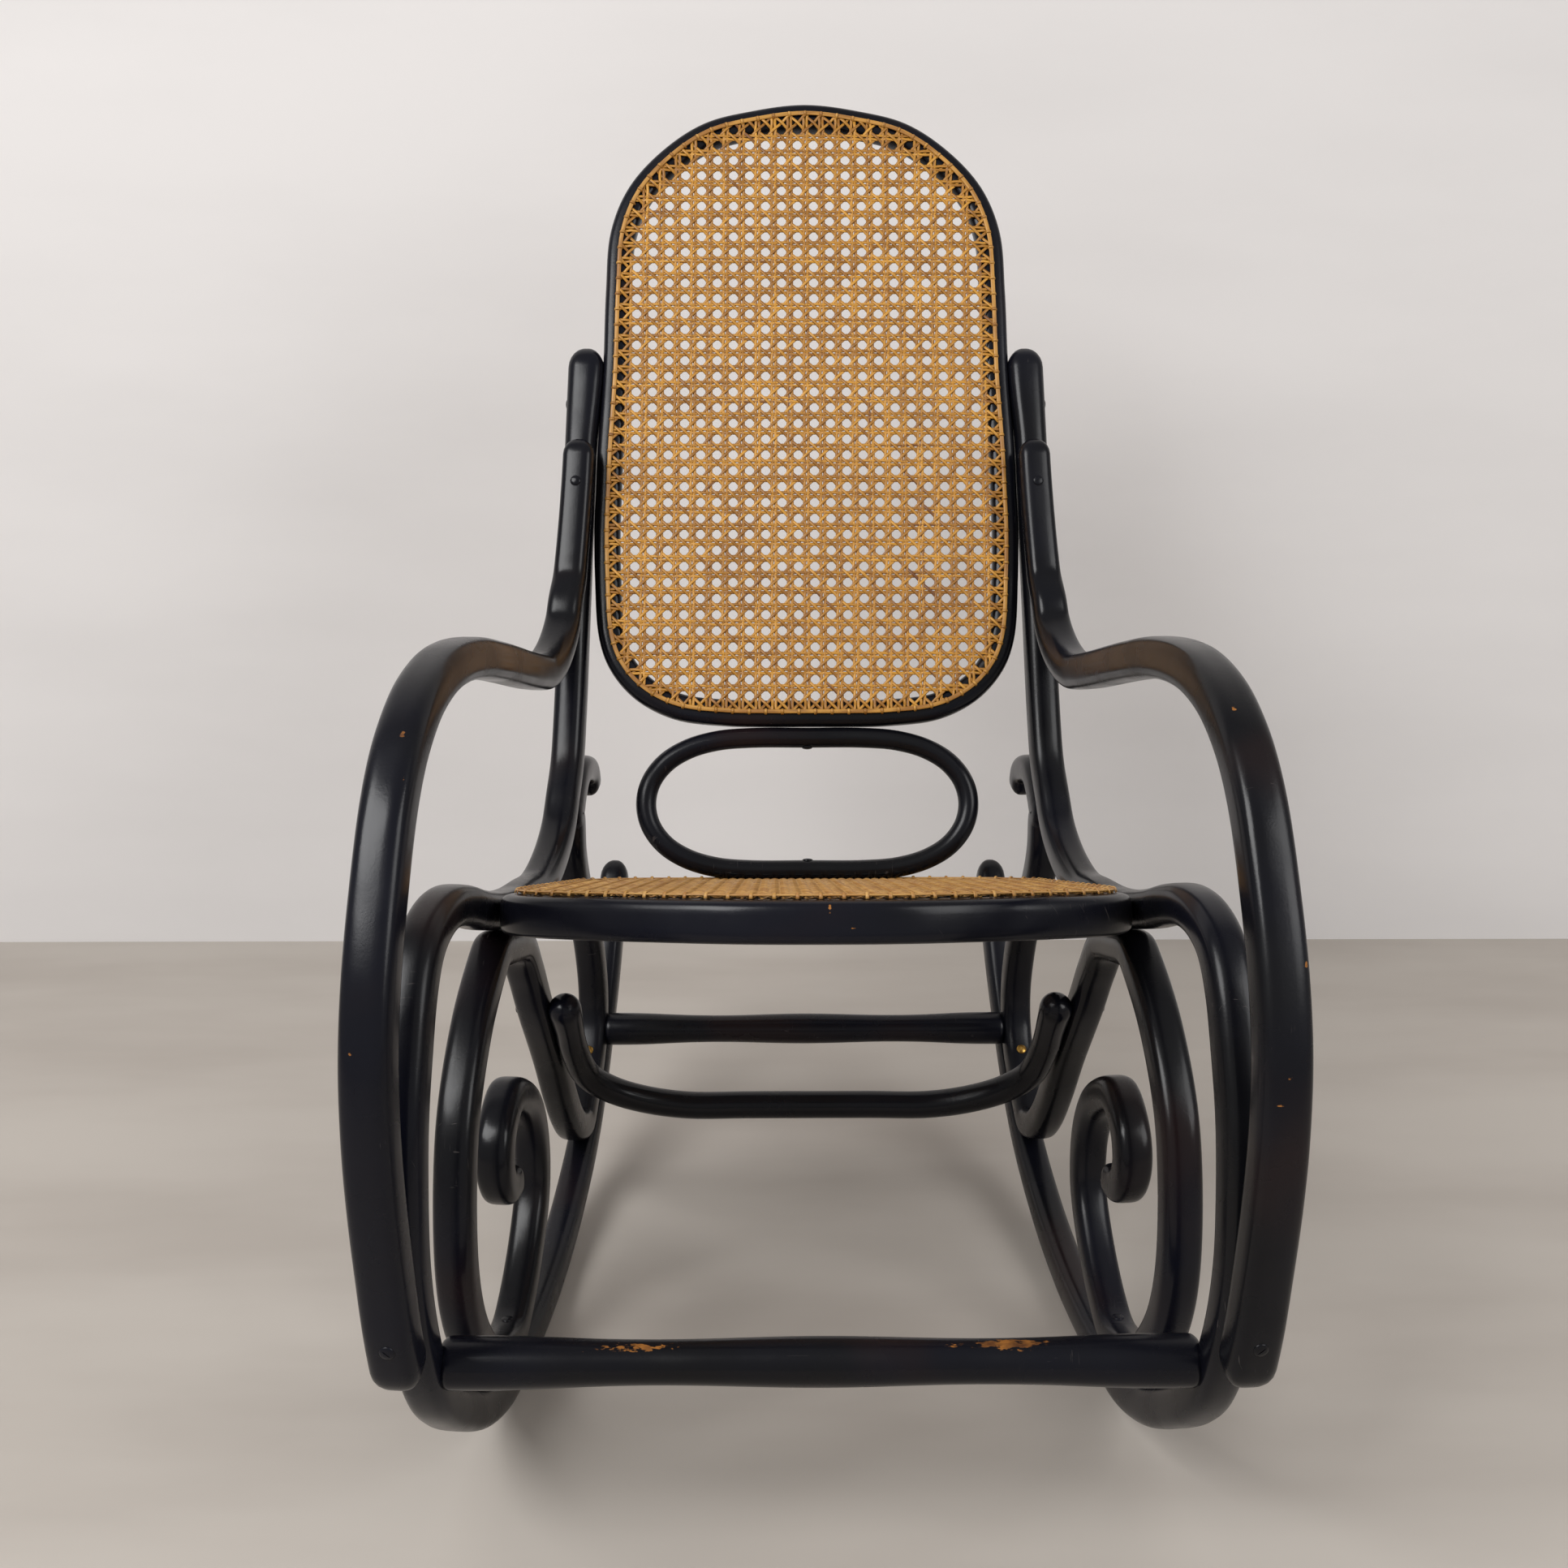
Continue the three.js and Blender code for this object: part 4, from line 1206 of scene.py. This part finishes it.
SEAT = Outline(
    before=(
        (0, 0), (0.256, 0.012), (0.507, 0.061), (0.745, 0.122), (0.905, 0.182), (0.98, 0.255), (0.984, 0.36),
    ),
    beside=(0.5, 0.64, 0.78),
    after=((0.912, 0.888), (0.835, 0.95), (0.7, 0.99), (0.54, 1), (0.27, 1), (0, 1)),
    widest=0.255,
)
BACK = Outline(
    before=(
        (0, 1), (0.27, 0.989), (0.5, 0.969), (0.7, 0.925), (0.86, 0.866), (0.943, 0.797), (0.964, 0.7),
        (0.975, 0.56),
    ),
    beside=(0.42, 0.36, 0.3),
    after=(
        (1.005, 0.22), (0.982, 0.125), (0.93, 0.08), (0.82, 0.04), (0.65, 0.012), (0.4, 0.0015), (0.2, 0),
        (0, 0),
    ),
    widest=0.42,
)
OVAL: Shares = ((0, 1), (0.35, 0.998), (0.56, 0.955), (0.74, 0.83), (0.88, 0.62), (0.97, 0.33), (1, 0))
# The rail's point that the seat's frame stands at, and the stile's points up the back's frame.
SEAT_POINT = 7
STILE = (1, 0.76, 0.52, 0.3)


@dataclass
class Rings:
    """The seat ring, the oval ring and the back ring, and the frames that they lie in."""

    seat_rod: Rod = Rod(34.0, 30.0, 4.4, sides=40)
    back_rod: Rod = Rod(25.0, 22.0, 3.2)
    oval_rod: Rod = Rod(19.0, 19.0, sides=24)
    seat_lean: float = math.radians(18)
    seat_length: float = 456.0
    seat_forward: float = 187.0
    back_lean: float = math.radians(22)
    back_height: float = 616.0
    oval_width: float = 322.0
    oval_height: float = 144.0
    stile_reach: float = 515.0
    seat_frame: Matrix = field(init=False)
    back_frame: Matrix = field(init=False)
    seat: Ring = field(init=False)
    back: Ring = field(init=False)
    oval: Ring = field(init=False)

    def __post_init__(self) -> None:
        """Sets the frames of the seat and the back."""
        depth = RAIL_LOOP[SEAT_POINT][0] * SideFrames.loop_depth
        height = RAIL_LOOP[SEAT_POINT][1] * SideFrames.loop_height
        self.seat_frame = Matrix.Translation((0, depth, height)) @ Matrix.Rotation(-self.seat_lean, 4, "X")
        rear = self.seat_length - self.seat_forward - self.seat_rod.in_bend / 2
        foot = self.seat_frame @ Vector((0, rear, self.seat_rod.across / 2))
        self.back_frame = Matrix.Translation(foot) @ Matrix.Rotation(math.pi / 2 - self.back_lean, 4, "X")

    def stile_points(self) -> list[Pair]:
        """The rail's points beside the back, as depth and height."""
        points = [self.back_frame @ Vector((0, share * self.stile_reach, 0)) for share in STILE]
        return [(point.y, point.z) for point in points]

    def draw(self, sides: SideFrames) -> None:
        """Draws the rings between the side frames.

        Args:
            sides: The side frames.
        """
        thick = self.seat_rod.in_bend
        front = thick / 2 - self.seat_forward
        ends = (front, front + self.seat_length - thick)
        self.seat = SEAT.ring("seat_frame", self.seat_rod, self.seat_frame, ends, sides)
        thick = self.back_rod.in_bend
        foot = 2 * GAP + self.oval_height + thick / 2
        ends = (foot, foot + self.back_height - thick)
        self.back = BACK.ring("back_frame", self.back_rod, self.back_frame, ends, sides)
        thick = self.oval_rod.in_bend
        across, up = (self.oval_width - thick) / 2, (self.oval_height - thick) / 2
        middle = GAP + self.oval_height / 2
        upper = scaled(OVAL, across, up)
        lower = scaled(OVAL, across, -up)[:-1][::-1]
        line = Bend([(x, y + middle) for x, y in mirrored([*upper, *lower])], closed=True)
        self.oval = Ring("oval_ring", self.oval_rod, self.back_frame, line)

    def build(self) -> None:
        """Makes the three rings."""
        for ring in (self.seat, self.back, self.oval):
            route = ring_route(ring.bend, ring.rod.steps)
            piece = swept(ring.node + "_wood", [route], ring.rod.section())
            set_down(piece, ring.frame)
            lacquer(piece, ring.node)


# Cane


class Direction(Enum):
    """The three kinds of strands in the six-way weave."""

    UPRIGHT = "uprights"
    CROSSWISE = "crossers"
    DIAGONAL = "diagonals"


ACROSS = np.array([1.0, 0.0])
ALONG = np.array([0.0, 1.0])
# A strand's section, crowned above and flat below, in shares of its half width and half thickness.
STRAND: Shares = ((1, -0.2), (0.6, 0.8), (0, 1), (-0.6, 0.8), (-1, -0.2), (0, -1))
# How a pair's strand rises and falls, in shares of the pitch and of the lift.
PAIR_WAVE: Shares = ((0.0, 0.0), (0.115, 1.0), (0.3, 0.45), (0.5, 0.0), (0.7, -0.45), (0.885, -1.0))
# A stitch over the binder, in shares of the binder's half width and of its thickness.
STITCH: Shares = (
    (-1.35, -1.6), (-1.1, -0.2), (-0.7, 0.75), (0, 1.05), (0.7, 0.75), (1.1, -0.2), (1.35, -1.6),
)


@dataclass
class CaneWeave:
    """A panel of six-way cane on a ring's face: pairs both ways, diagonals both ways, and a binder.

    Its inward is 1 where the panel lies to the right of the ring's line and -1 where it lies to the
    left. A strand that meets the edge less squarely than least_square ends before the edge, and one
    shorter than least_length pitches is left out.
    """

    name: str
    ring: Ring
    slot: Slot
    finish: Cane
    binder_finish: Cane
    inset: float
    inward: int = 1
    middle: Pair = (0.0, 0.0)
    pitch: float = 15.5
    strand_width: float = 2.8
    strand_thick: float = 0.9
    clearance: float = 0.1
    pair_spread: float = 1.74
    pair_bow: float = 0.28
    pair_lift: float = 0.5
    cross_lift: float = 1.05
    cross_steps: int = 8
    end_margin: float = 0.3
    least_square: float = 0.5
    least_length: float = 0.8
    edge_zone: float = 11.0
    edge_points: int = 240
    binder: Rod = Rod(4.0, 1.5, 2.6, sides=10)
    rise: float = field(init=False)
    outer: np.ndarray = field(init=False)
    inner: np.ndarray = field(init=False)

    def __post_init__(self) -> None:
        """Works out how high the weave lies and the two loops near its edge."""
        self.rise = self.ring.rod.across / 2 + self.cross_lift + self.strand_thick / 2 + self.clearance
        self.outer = self.ring.bend.inside(self.inward * self.inset, self.edge_points)
        self.inner = self.ring.bend.inside(self.inward * (self.inset + self.edge_zone), self.edge_points)

    def strand_section(self) -> list[Pair]:
        """A strand's section."""
        return scaled(STRAND, self.strand_width / 2, self.strand_thick / 2)

    def crossings(self, loop: np.ndarray, start: np.ndarray, way: np.ndarray) -> list[Pair]:
        """Where a straight line crosses a loop.

        Args:
            loop: The loop's points.
            start: A point on the line.
            way: The line's unit direction.

        Returns:
            Pairs of the distance from the start and how squarely the line meets the loop, in order.
        """
        following = np.roll(loop, -1, axis=0)
        side = left_of(way)
        a, b = (loop - start) @ side, (following - start) @ side
        made = []
        for i in np.nonzero((a > 0) != (b > 0))[0]:
            edge = following[i] - loop[i]
            point = loop[i] + a[i] / (a[i] - b[i]) * edge
            edge = edge / np.linalg.norm(edge)
            made.append((float((point - start) @ way), float(abs(edge @ side))))
        return sorted(made)

    def reach(self, start: np.ndarray, way: np.ndarray) -> Pair | None:
        """How far a strand goes: to the binder, or only near it where it would run along the edge.

        Args:
            start: A point on the strand's line.
            way: Its unit direction.

        Returns:
            The two distances, or None where there is no strand.
        """
        outer = self.crossings(self.outer, start, way)
        inner = self.crossings(self.inner, start, way)
        if len(outer) < 2 or len(inner) < 2:
            return None
        low, high = (outer[k][0] if outer[k][1] > self.least_square else inner[k][0] for k in (0, -1))
        return (low, high) if high - low > self.pitch * self.least_length else None

    def pair_route(self, start: np.ndarray, way: np.ndarray, member: int, sign: int) -> Route | None:
        """One strand of a pair.

        Args:
            start: A point where the pair's line crosses another pair's line.
            way: The pair's unit direction.
            member: Which of the two, -1 or 1.
            sign: Whether this kind of pair starts above or below the other.

        Returns:
            The strand's route, or None.
        """
        side = left_of(way)
        ends = self.reach(start + member * self.pair_spread * side, way)
        if ends is None:
            return None
        wholes = range(math.floor(ends[0] / self.pitch), math.ceil(ends[1] / self.pitch))
        waves = [((k + share) * self.pitch, share, lift) for k in wholes for share, lift in PAIR_WAVE]
        low, high = ends[0] + self.end_margin, ends[1] - self.end_margin
        tips = [(end, end / self.pitch % 1, 0.0) for end in ends]
        made = []
        for along, share, lift in [tips[0], *[step for step in waves if low < step[0] < high], tips[1]]:
            out = member * (self.pair_spread - self.pair_bow * math.cos(2 * math.pi * share))
            x, y = start + along * way + out * side
            made.append((x, y, self.rise + sign * member * lift * self.pair_lift, 1.0))
        return Route(np.array(made))

    def diagonal_route(self, start: np.ndarray, way: np.ndarray, sign: int) -> Route | None:
        """One diagonal strand.

        Args:
            start: A point where the strand crosses an upright pair.
            way: Its unit direction.
            sign: 1 where it passes over the upright pairs, -1 where it passes under them.

        Returns:
            The strand's route, or None.
        """
        ends = self.reach(start, way)
        if ends is None:
            return None
        full = self.pitch * math.sqrt(2)
        first = math.floor((ends[0] + self.end_margin) / full * self.cross_steps) + 1
        last = math.ceil((ends[1] - self.end_margin) / full * self.cross_steps)
        made = []
        for along in [ends[0], *[i * full / self.cross_steps for i in range(first, last)], ends[1]]:
            x, y = start + along * way
            lift = sign * self.cross_lift * math.cos(2 * math.pi * along / full)
            made.append((x, y, self.rise + lift, 1.0))
        return Route(np.array(made))

    def routes(self, direction: Direction) -> list[Route]:
        """The routes of one kind of strand.

        Args:
            direction: The kind.

        Returns:
            The routes.
        """
        count = math.ceil(np.ptp(self.outer, axis=0).max() / self.pitch) + 2
        upright = direction is Direction.UPRIGHT
        way, step = (ALONG, ACROSS * self.pitch) if upright else (ACROSS, ALONG * self.pitch)
        made: list[Route | None] = []
        for k in range(-count, count + 1):
            if direction is Direction.DIAGONAL:
                start = np.array(self.middle) + (k + 0.5) * step
                for sign in (1, -1):
                    made.append(self.diagonal_route(start, (ACROSS + sign * ALONG) / math.sqrt(2), sign))
            else:
                start = np.array(self.middle) + k * step
                for member in (-1, 1):
                    made.append(self.pair_route(start, way, member, 1 if upright else -1))
        return [route for route in made if route is not None]

    def build(self) -> None:
        """Makes the strands and the binder, which together replace the CAD panel and its binder."""
        material = self.finish.material(self.name + "_cane")
        for direction in Direction:
            name = f"{self.name}_cane_{direction.value}"
            piece = swept(name, self.routes(direction), self.strand_section())
            set_down(piece, self.ring.frame)
            nodes = [self.name + "_cane"] if direction is Direction.UPRIGHT else []
            dress(piece, material, self.slot, *nodes)
        self.build_binder()

    def build_binder(self) -> None:
        """Makes the binder round the edge and the stitches that hold it."""
        height = self.rise + self.strand_thick / 2 + self.binder.across / 2
        count = len(self.outer)
        rows = np.column_stack([self.outer, np.full(count, height), np.ones(count)])
        strip = swept(self.name + "_cane_binder_strip", [Route(rows, closed=True)], self.binder.section())
        set_down(strip, self.ring.frame)
        material = self.binder_finish.material(self.name + "_binder_cane")
        dress(strip, material, self.slot, self.name + "_cane_binder")
        around = np.linalg.norm(np.diff(self.outer, axis=0, append=self.outer[:1]), axis=1).sum()
        stitches = round(around / self.pitch)
        routes = [self.stitch(i / stitches * count, height) for i in range(stitches)]
        piece = swept(self.name + "_cane_stitches", routes, self.strand_section())
        set_down(piece, self.ring.frame)
        dress(piece, material, self.slot)

    def stitch(self, at: float, height: float) -> Route:
        """One stitch over the binder.

        Args:
            at: Its place, counted in the outer loop's points.
            height: How high the binder's middle lies.

        Returns:
            Its route.
        """
        whole = int(at)
        here, ahead = self.outer[whole], self.outer[(whole + 1) % len(self.outer)]
        spot = here + (at - whole) * (ahead - here)
        side = left_of((ahead - here) / np.linalg.norm(ahead - here))
        half, thick = self.binder.in_bend / 2, self.binder.across
        rows = [(*(spot + side * out * half), height + up * thick, 1.0) for out, up in STITCH]
        return Route(np.array(rows))


# Stretchers


# Places of the stretchers, the first counted in the rail's points and the others in the scroll's, and
# how far to the left of the line each lies.
FRONT_PLACE: Pair = (22.6, 8.0)
REAR_PLACE: Pair = (39.8, -6.0)
LOOP_PLACE: Pair = (28.7, -5.0)
LOOP_CORNER: Shares = ((0.962, 0.45), (0.866, 0.71), (0.727, 0.89), (0.54, 1), (0.27, 1), (0, 1))


@dataclass
class Stretchers:
    """The turned front and rear stretchers and the looped one that hangs from the scrolls."""

    sides: SideFrames
    front_rod: Rod = Rod(33.0, 33.0)
    rear_rod: Rod = Rod(31.0, 31.0)
    loop_rod: Rod = Rod(25.0, 25.0, sides=28, steps=10)
    rings: int = 281
    waist_share: float = 0.11
    waist_end: float = 0.85
    end_swell: float = 0.07
    swell_zone: Pair = (0.55, 0.92)
    end_reach: float = 7.0
    end_round: float = 9.0
    end_fall: float = 0.9
    loop_drop: float = 166.0
    loop_leg: float = 74.0
    knob_share: float = 0.16
    knob_zone: float = 0.09

    def fullness(self, place: float, reach: float) -> float:
        """How full a turned stretcher is.

        Args:
            place: How far from its middle.
            reach: How far its ends lie from its middle.

        Returns:
            The share of its diameter.
        """
        out = place / reach
        waist = self.waist_share * math.sin(math.pi * min(1.0, out / self.waist_end)) ** 2
        swell = self.end_swell * smoothstep(out, *self.swell_zone)
        near = max(0.0, 1 - (reach - place) / self.end_round)
        return (1 - waist + swell) * math.sqrt(1 - self.end_fall * near**2)

    def turned(self, node: str, rod: Rod, centre: np.ndarray) -> None:
        """Makes one turned stretcher, whose rounded ends are let into the sides.

        Args:
            node: Its CAD node.
            rod: Its rod.
            centre: Its depth and height.
        """
        reach = self.sides.inner_face(centre[0]) + self.end_reach
        places = np.linspace(-reach, reach, self.rings)
        level = np.zeros_like(places)
        grow = [self.fullness(abs(place), reach) for place in places]
        route = Route(np.column_stack([places, level, level, grow]))
        piece = swept(node + "_wood", [route], rod.section())
        set_down(piece, Matrix.Translation((0, *centre)))
        lacquer(piece, node)

    def looped(self) -> None:
        """Makes the looped stretcher."""
        hang = -(self.sides.scroll.in_bend + self.loop_rod.in_bend) / 2 - GAP
        top = self.sides.scroll_bend.beside(*LOOP_PLACE)
        down = -left_of(self.sides.scroll_bend.square_to(LOOP_PLACE[0]))
        spots = [top + down * distance for distance in (0, self.loop_leg / 2, self.loop_leg)]
        leg = [self.sides.frame @ Vector((*spot, hang)) for spot in spots]
        slope = math.atan2(leg[2].z - leg[0].z, leg[2].y - leg[0].y)
        frame = Matrix.Translation((0, leg[0].y, leg[0].z)) @ Matrix.Rotation(slope, 4, "X")
        inside = [(frame.inverted() @ point).xy for point in leg]
        foot = inside[-1]
        corner = [(x * foot.x, mix(foot.y, self.loop_drop, y)) for x, y in LOOP_CORNER]
        bend = Bend(mirrored([*[(point.x, point.y) for point in inside], *corner]))

        def knob(share: float) -> float:
            """How full the rod is at a share, with a knob at each end."""
            return 1 + self.knob_share * (1 - smoothstep(min(share, 1 - share), 0.0, self.knob_zone))

        route = open_route(bend, self.loop_rod.steps, self.loop_rod.in_bend / 2, knob)
        piece = swept("u_stretcher_wood", [route], self.loop_rod.section())
        set_down(piece, frame)
        lacquer(piece, "u_stretcher")

    def build(self) -> None:
        """Makes the three stretchers."""
        self.turned("front_stretcher", self.front_rod, self.sides.rail_bend.beside(*FRONT_PLACE))
        self.turned("rear_stretcher", self.rear_rod, self.sides.scroll_bend.beside(*REAR_PLACE))
        self.looped()


# Screws


@dataclass(frozen=True)
class Screw:
    """One screw or pair of screws: the head's place, the way that it faces and the frame of both."""

    name: str
    spot: Vector
    out: Vector
    frame: Matrix
    paired: bool = True


# The rings of a head's dome, in degrees up from its rim.
DOME_TURNS = (0, 22, 44, 64, 80)
BRASS_SCREWS = ("scroll_heel_screw",)


@dataclass
class Screws:
    """Domed screws with a driver slot, sunk a little into the lacquer."""

    sides: SideFrames
    rings: Rings
    head: float = 5.0
    head_sides: int = 28
    dome: float = 1.5
    sink: float = 0.8
    slot_width: float = 0.8
    slot_deep: float = 0.5
    sharp: float = math.radians(35)

    def blank(self) -> bpy.types.Object:
        """One screw head at the origin with its dome along Z.

        Returns:
            The head, in millimetres.
        """
        bpy.ops.object.select_all(action="DESELECT")
        bpy.ops.mesh.primitive_circle_add(
            vertices=self.head_sides, radius=self.head, fill_type="NGON", location=(0, 0, -self.sink)
        )
        head = bpy.context.active_object
        bpy.ops.object.transform_apply(location=True, rotation=True, scale=True)
        bpy.ops.object.mode_set(mode="EDIT")
        bpy.ops.mesh.select_all(action="SELECT")
        radius, height = self.head, -self.sink
        for turn in DOME_TURNS:
            wide = self.head * math.cos(math.radians(turn))
            up = self.dome * math.sin(math.radians(turn))
            bpy.ops.mesh.extrude_region_move(TRANSFORM_OT_translate={"value": (0, 0, up - height)})
            bpy.ops.transform.resize(value=(wide / radius, wide / radius, 1))
            radius, height = wide, up
        bpy.ops.object.mode_set(mode="OBJECT")
        size = (3 * self.head, self.slot_width, 2 * self.slot_deep)
        bpy.ops.mesh.primitive_cube_add(size=1, location=(0, 0, self.dome), scale=size)
        cutter = bpy.context.active_object
        only(head)
        bpy.ops.object.mode_set(mode="EDIT")
        bpy.ops.mesh.select_all(action="SELECT")
        bpy.ops.mesh.normals_make_consistent(inside=False)
        bpy.ops.object.mode_set(mode="OBJECT")
        cut = head.modifiers.new("slot", "BOOLEAN")
        cut.operation, cut.object, cut.solver = "DIFFERENCE", cutter, "EXACT"
        bpy.ops.object.modifier_apply(modifier=cut.name)
        bpy.ops.object.shade_smooth_by_angle(angle=self.sharp)
        drop(cutter)
        return head

    def beside_rail(self) -> list[Screw]:
        """The screws that hold the arm and the scroll to the rail.

        Returns:
            The screws.
        """
        rail, arm, scroll = self.sides.rail, self.sides.arm.in_bend, self.sides.scroll.in_bend
        arm_top = 1.15
        lean = self.sides.arm_drift((arm_top - ARM_TOP.start) / self.sides.arm_bend.spans)
        made = []
        for name, at, sign, thick, aside in (
            ("arm_top_screw", arm_top, -1, arm * self.sides.arm_end_thick, lean),
            ("arm_foot_screw", 21.4, -1, arm, 0.0),
            ("scroll_arch_screw", 10.95, 1, scroll, 0.0),
            ("scroll_foot_screw", SCROLL_FOOT, 1, scroll, 0.0),
            ("scroll_heel_screw", 35.4, 1, scroll, 0.0),
            ("scroll_waist_screw", 4.85, 1, scroll, 0.0),
        ):
            point = self.sides.rail_bend.beside(at, sign * (rail.in_bend / 2 + GAP + thick))
            out = sign * self.sides.rail_bend.square_to(at)
            made.append(Screw(name, Vector((*point, aside)), Vector((*out, 0)), self.sides.frame))
        return made

    def through_side(self) -> list[Screw]:
        """The screws that hold the sides to the rings and the stretchers.

        Returns:
            The screws.
        """
        rail, scroll = self.sides.rail_bend, self.sides.scroll_bend
        rail_half, scroll_half = self.sides.rail.across / 2, self.sides.scroll.across / 2
        made = []
        for name, point, face in (
            ("back_upper_screw", rail.beside(0.45), rail_half),
            ("back_lower_screw", rail.beside(1.55), rail_half),
            ("seat_front_screw", rail.beside(11.75), rail_half),
            ("seat_rear_screw", rail.beside(9.4), rail_half),
            ("front_stretcher_screw", rail.beside(FRONT_PLACE[0], 4.0), rail_half),
            ("rear_stretcher_screw", scroll.beside(REAR_PLACE[0], -3.0), scroll_half),
            ("u_stretcher_screw", scroll.beside(29.0, -2.5), scroll_half),
        ):
            made.append(Screw(name, Vector((*point, face)), Vector((0, 0, 1)), self.sides.frame))
        return made

    def in_oval(self) -> list[Screw]:
        """The screws that hold the oval ring to the back ring and the seat ring.

        Returns:
            The screws.
        """
        rod, frame = self.rings.oval_rod.in_bend, self.rings.back_frame
        upper = Vector((0, GAP + self.rings.oval_height - rod, 0))
        lower = Vector((0, GAP + rod, 0))
        return [
            Screw("oval_top_screw", upper, Vector((0, -1, 0)), frame, paired=False),
            Screw("oval_bottom_screw", lower, Vector((0, 1, 0)), frame, paired=False),
        ]

    def build(self) -> None:
        """Makes every screw as a copy of one head, each turned its own way."""
        head = self.blank()
        brass = Brass().material("brass_screws")
        steel = Lacquer().material("steel_screws")
        chance = random.Random(5)
        for screw in [*self.beside_rail(), *self.through_side(), *self.in_oval()]:
            copy = head.copy()
            copy.data = head.data.copy()
            bpy.context.scene.collection.objects.link(copy)
            turn = screw.out.to_track_quat("Z", "Y").to_matrix().to_4x4()
            spin = Matrix.Rotation(chance.uniform(0, math.pi), 4, "Z")
            copy.data.transform(Matrix.Translation(screw.spot) @ turn @ spin)
            set_down(copy, screw.frame)
            finish, slot = (brass, Slot.BRASS) if screw.name in BRASS_SCREWS else (steel, Slot.STEEL)
            if screw.paired:
                copy.name = screw.name + "_right_head"
                other = other_side(copy, screw.name + "_left_head")
                dress(copy, finish, slot, screw.name + "_right")
                dress(other, finish, slot, screw.name + "_left")
            else:
                copy.name = screw.name + "_head"
                dress(copy, finish, slot, screw.name)
        drop(head)


# Room


@dataclass(frozen=True)
class Lamp:
    """One soft area lamp: where it hangs, its width and height, its power in watts and what it faces."""

    name: str
    place: Triple
    size: Pair
    power: float
    target: Triple = (0, 0, 0.5)

    def build(self) -> None:
        """Hangs the lamp."""
        bpy.ops.object.select_all(action="DESELECT")
        bpy.ops.object.light_add(type="AREA", location=self.place)
        lamp = bpy.context.active_object
        lamp.name = self.name
        lamp.data.shape = "RECTANGLE"
        lamp.data.size, lamp.data.size_y = self.size
        lamp.data.energy = self.power
        aim = Vector(self.target) - Vector(self.place)
        lamp.rotation_euler = aim.to_track_quat("-Z", "Y").to_euler()


@dataclass(frozen=True)
class Studio:
    """A plain pale floor and wall, soft lamps and the camera, in metres."""

    room: float = 14.0
    floor_at: float = -0.0005
    wall_at: float = 0.86
    wall_sunk: float = 0.01
    floor: Matt = Matt((186, 179, 171), (173, 165, 157))
    wall: Matt = Matt((224, 221, 220), (219, 216, 215), one_sided=True)
    key: Lamp = Lamp("key_lamp", (-1.9, -1.9, 2.7), (1.8, 1.5), 92)
    fill: Lamp = Lamp("fill_lamp", (2.2, -1.7, 2.0), (1.4, 1.6), 34)
    world_colour: tuple[float, ...] = (1, 0.985, 0.97, 1)
    world_strength: float = 0.42
    camera_at: Triple = (-0.030, -1.2554, 0.845)
    pitch: float = math.radians(16.1)
    yaw: float = math.radians(0.326)
    lens: float = 36.056
    sensor: float = 36.0

    def plane(self, name: str, finish: Matt, place: Triple, tilt: float) -> bpy.types.Object:
        """One flat surface of the room.

        Args:
            name: Its name.
            finish: Its finish.
            place: Its middle.
            tilt: How far it is turned up from level.

        Returns:
            The surface.
        """
        bpy.ops.object.select_all(action="DESELECT")
        bpy.ops.mesh.primitive_plane_add(size=self.room, location=place, rotation=(tilt, 0, 0))
        made = bpy.context.active_object
        made.name = name
        made.data.materials.append(finish.material("pale_" + name))
        return made

    def build(self) -> None:
        """Makes the room, the lamps and the camera."""
        upright = math.pi / 2
        floor = self.plane("floor", self.floor, (0, 0, self.floor_at), 0)
        wall_middle = (0, self.wall_at, self.room / 2 - self.wall_sunk)
        wall = self.plane("wall", self.wall, wall_middle, upright)
        self.key.build()
        self.fill.build()
        world = bpy.data.worlds.new("soft_room")
        bpy.context.scene.world = world
        world.use_nodes = True
        background = world.node_tree.nodes["Background"]
        background.inputs["Color"].default_value = self.world_colour
        background.inputs["Strength"].default_value = self.world_strength
        bpy.ops.object.camera_add(location=self.camera_at, rotation=(upright - self.pitch, 0, -self.yaw))
        camera = bpy.context.active_object
        camera.data.lens = self.lens
        camera.data.sensor_width = self.sensor
        bpy.context.scene.camera = camera
        view = bpy.context.scene.view_settings
        view.view_transform = "Standard"


def main() -> None:
    logging.basicConfig(level=logging.INFO, format="%(message)s")
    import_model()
    Studio().build()
    rings = Rings()
    sides = SideFrames(stile=rings.stile_points())
    rings.draw(sides)
    sides.build()
    rings.build()
    Stretchers(sides).build()
    Screws(sides, rings).build()
    back_binder = Cane(pale=(204, 152, 72), middle=(180, 128, 50), deep=(146, 96, 38))
    CaneWeave(
        "back", rings.back, Slot.BACK_CANE, Cane(), back_binder, inset=0.6, middle=(0.0, 460.0)
    ).build()
    seat_cane = Cane(pale=(202, 157, 90), middle=(183, 136, 68), deep=(156, 106, 50), brown=(124, 78, 42))
    CaneWeave(
        "seat", rings.seat, Slot.SEAT_CANE, seat_cane, seat_cane, inset=-3.5, inward=-1
    ).build()


if __name__ == "__main__":
    main()
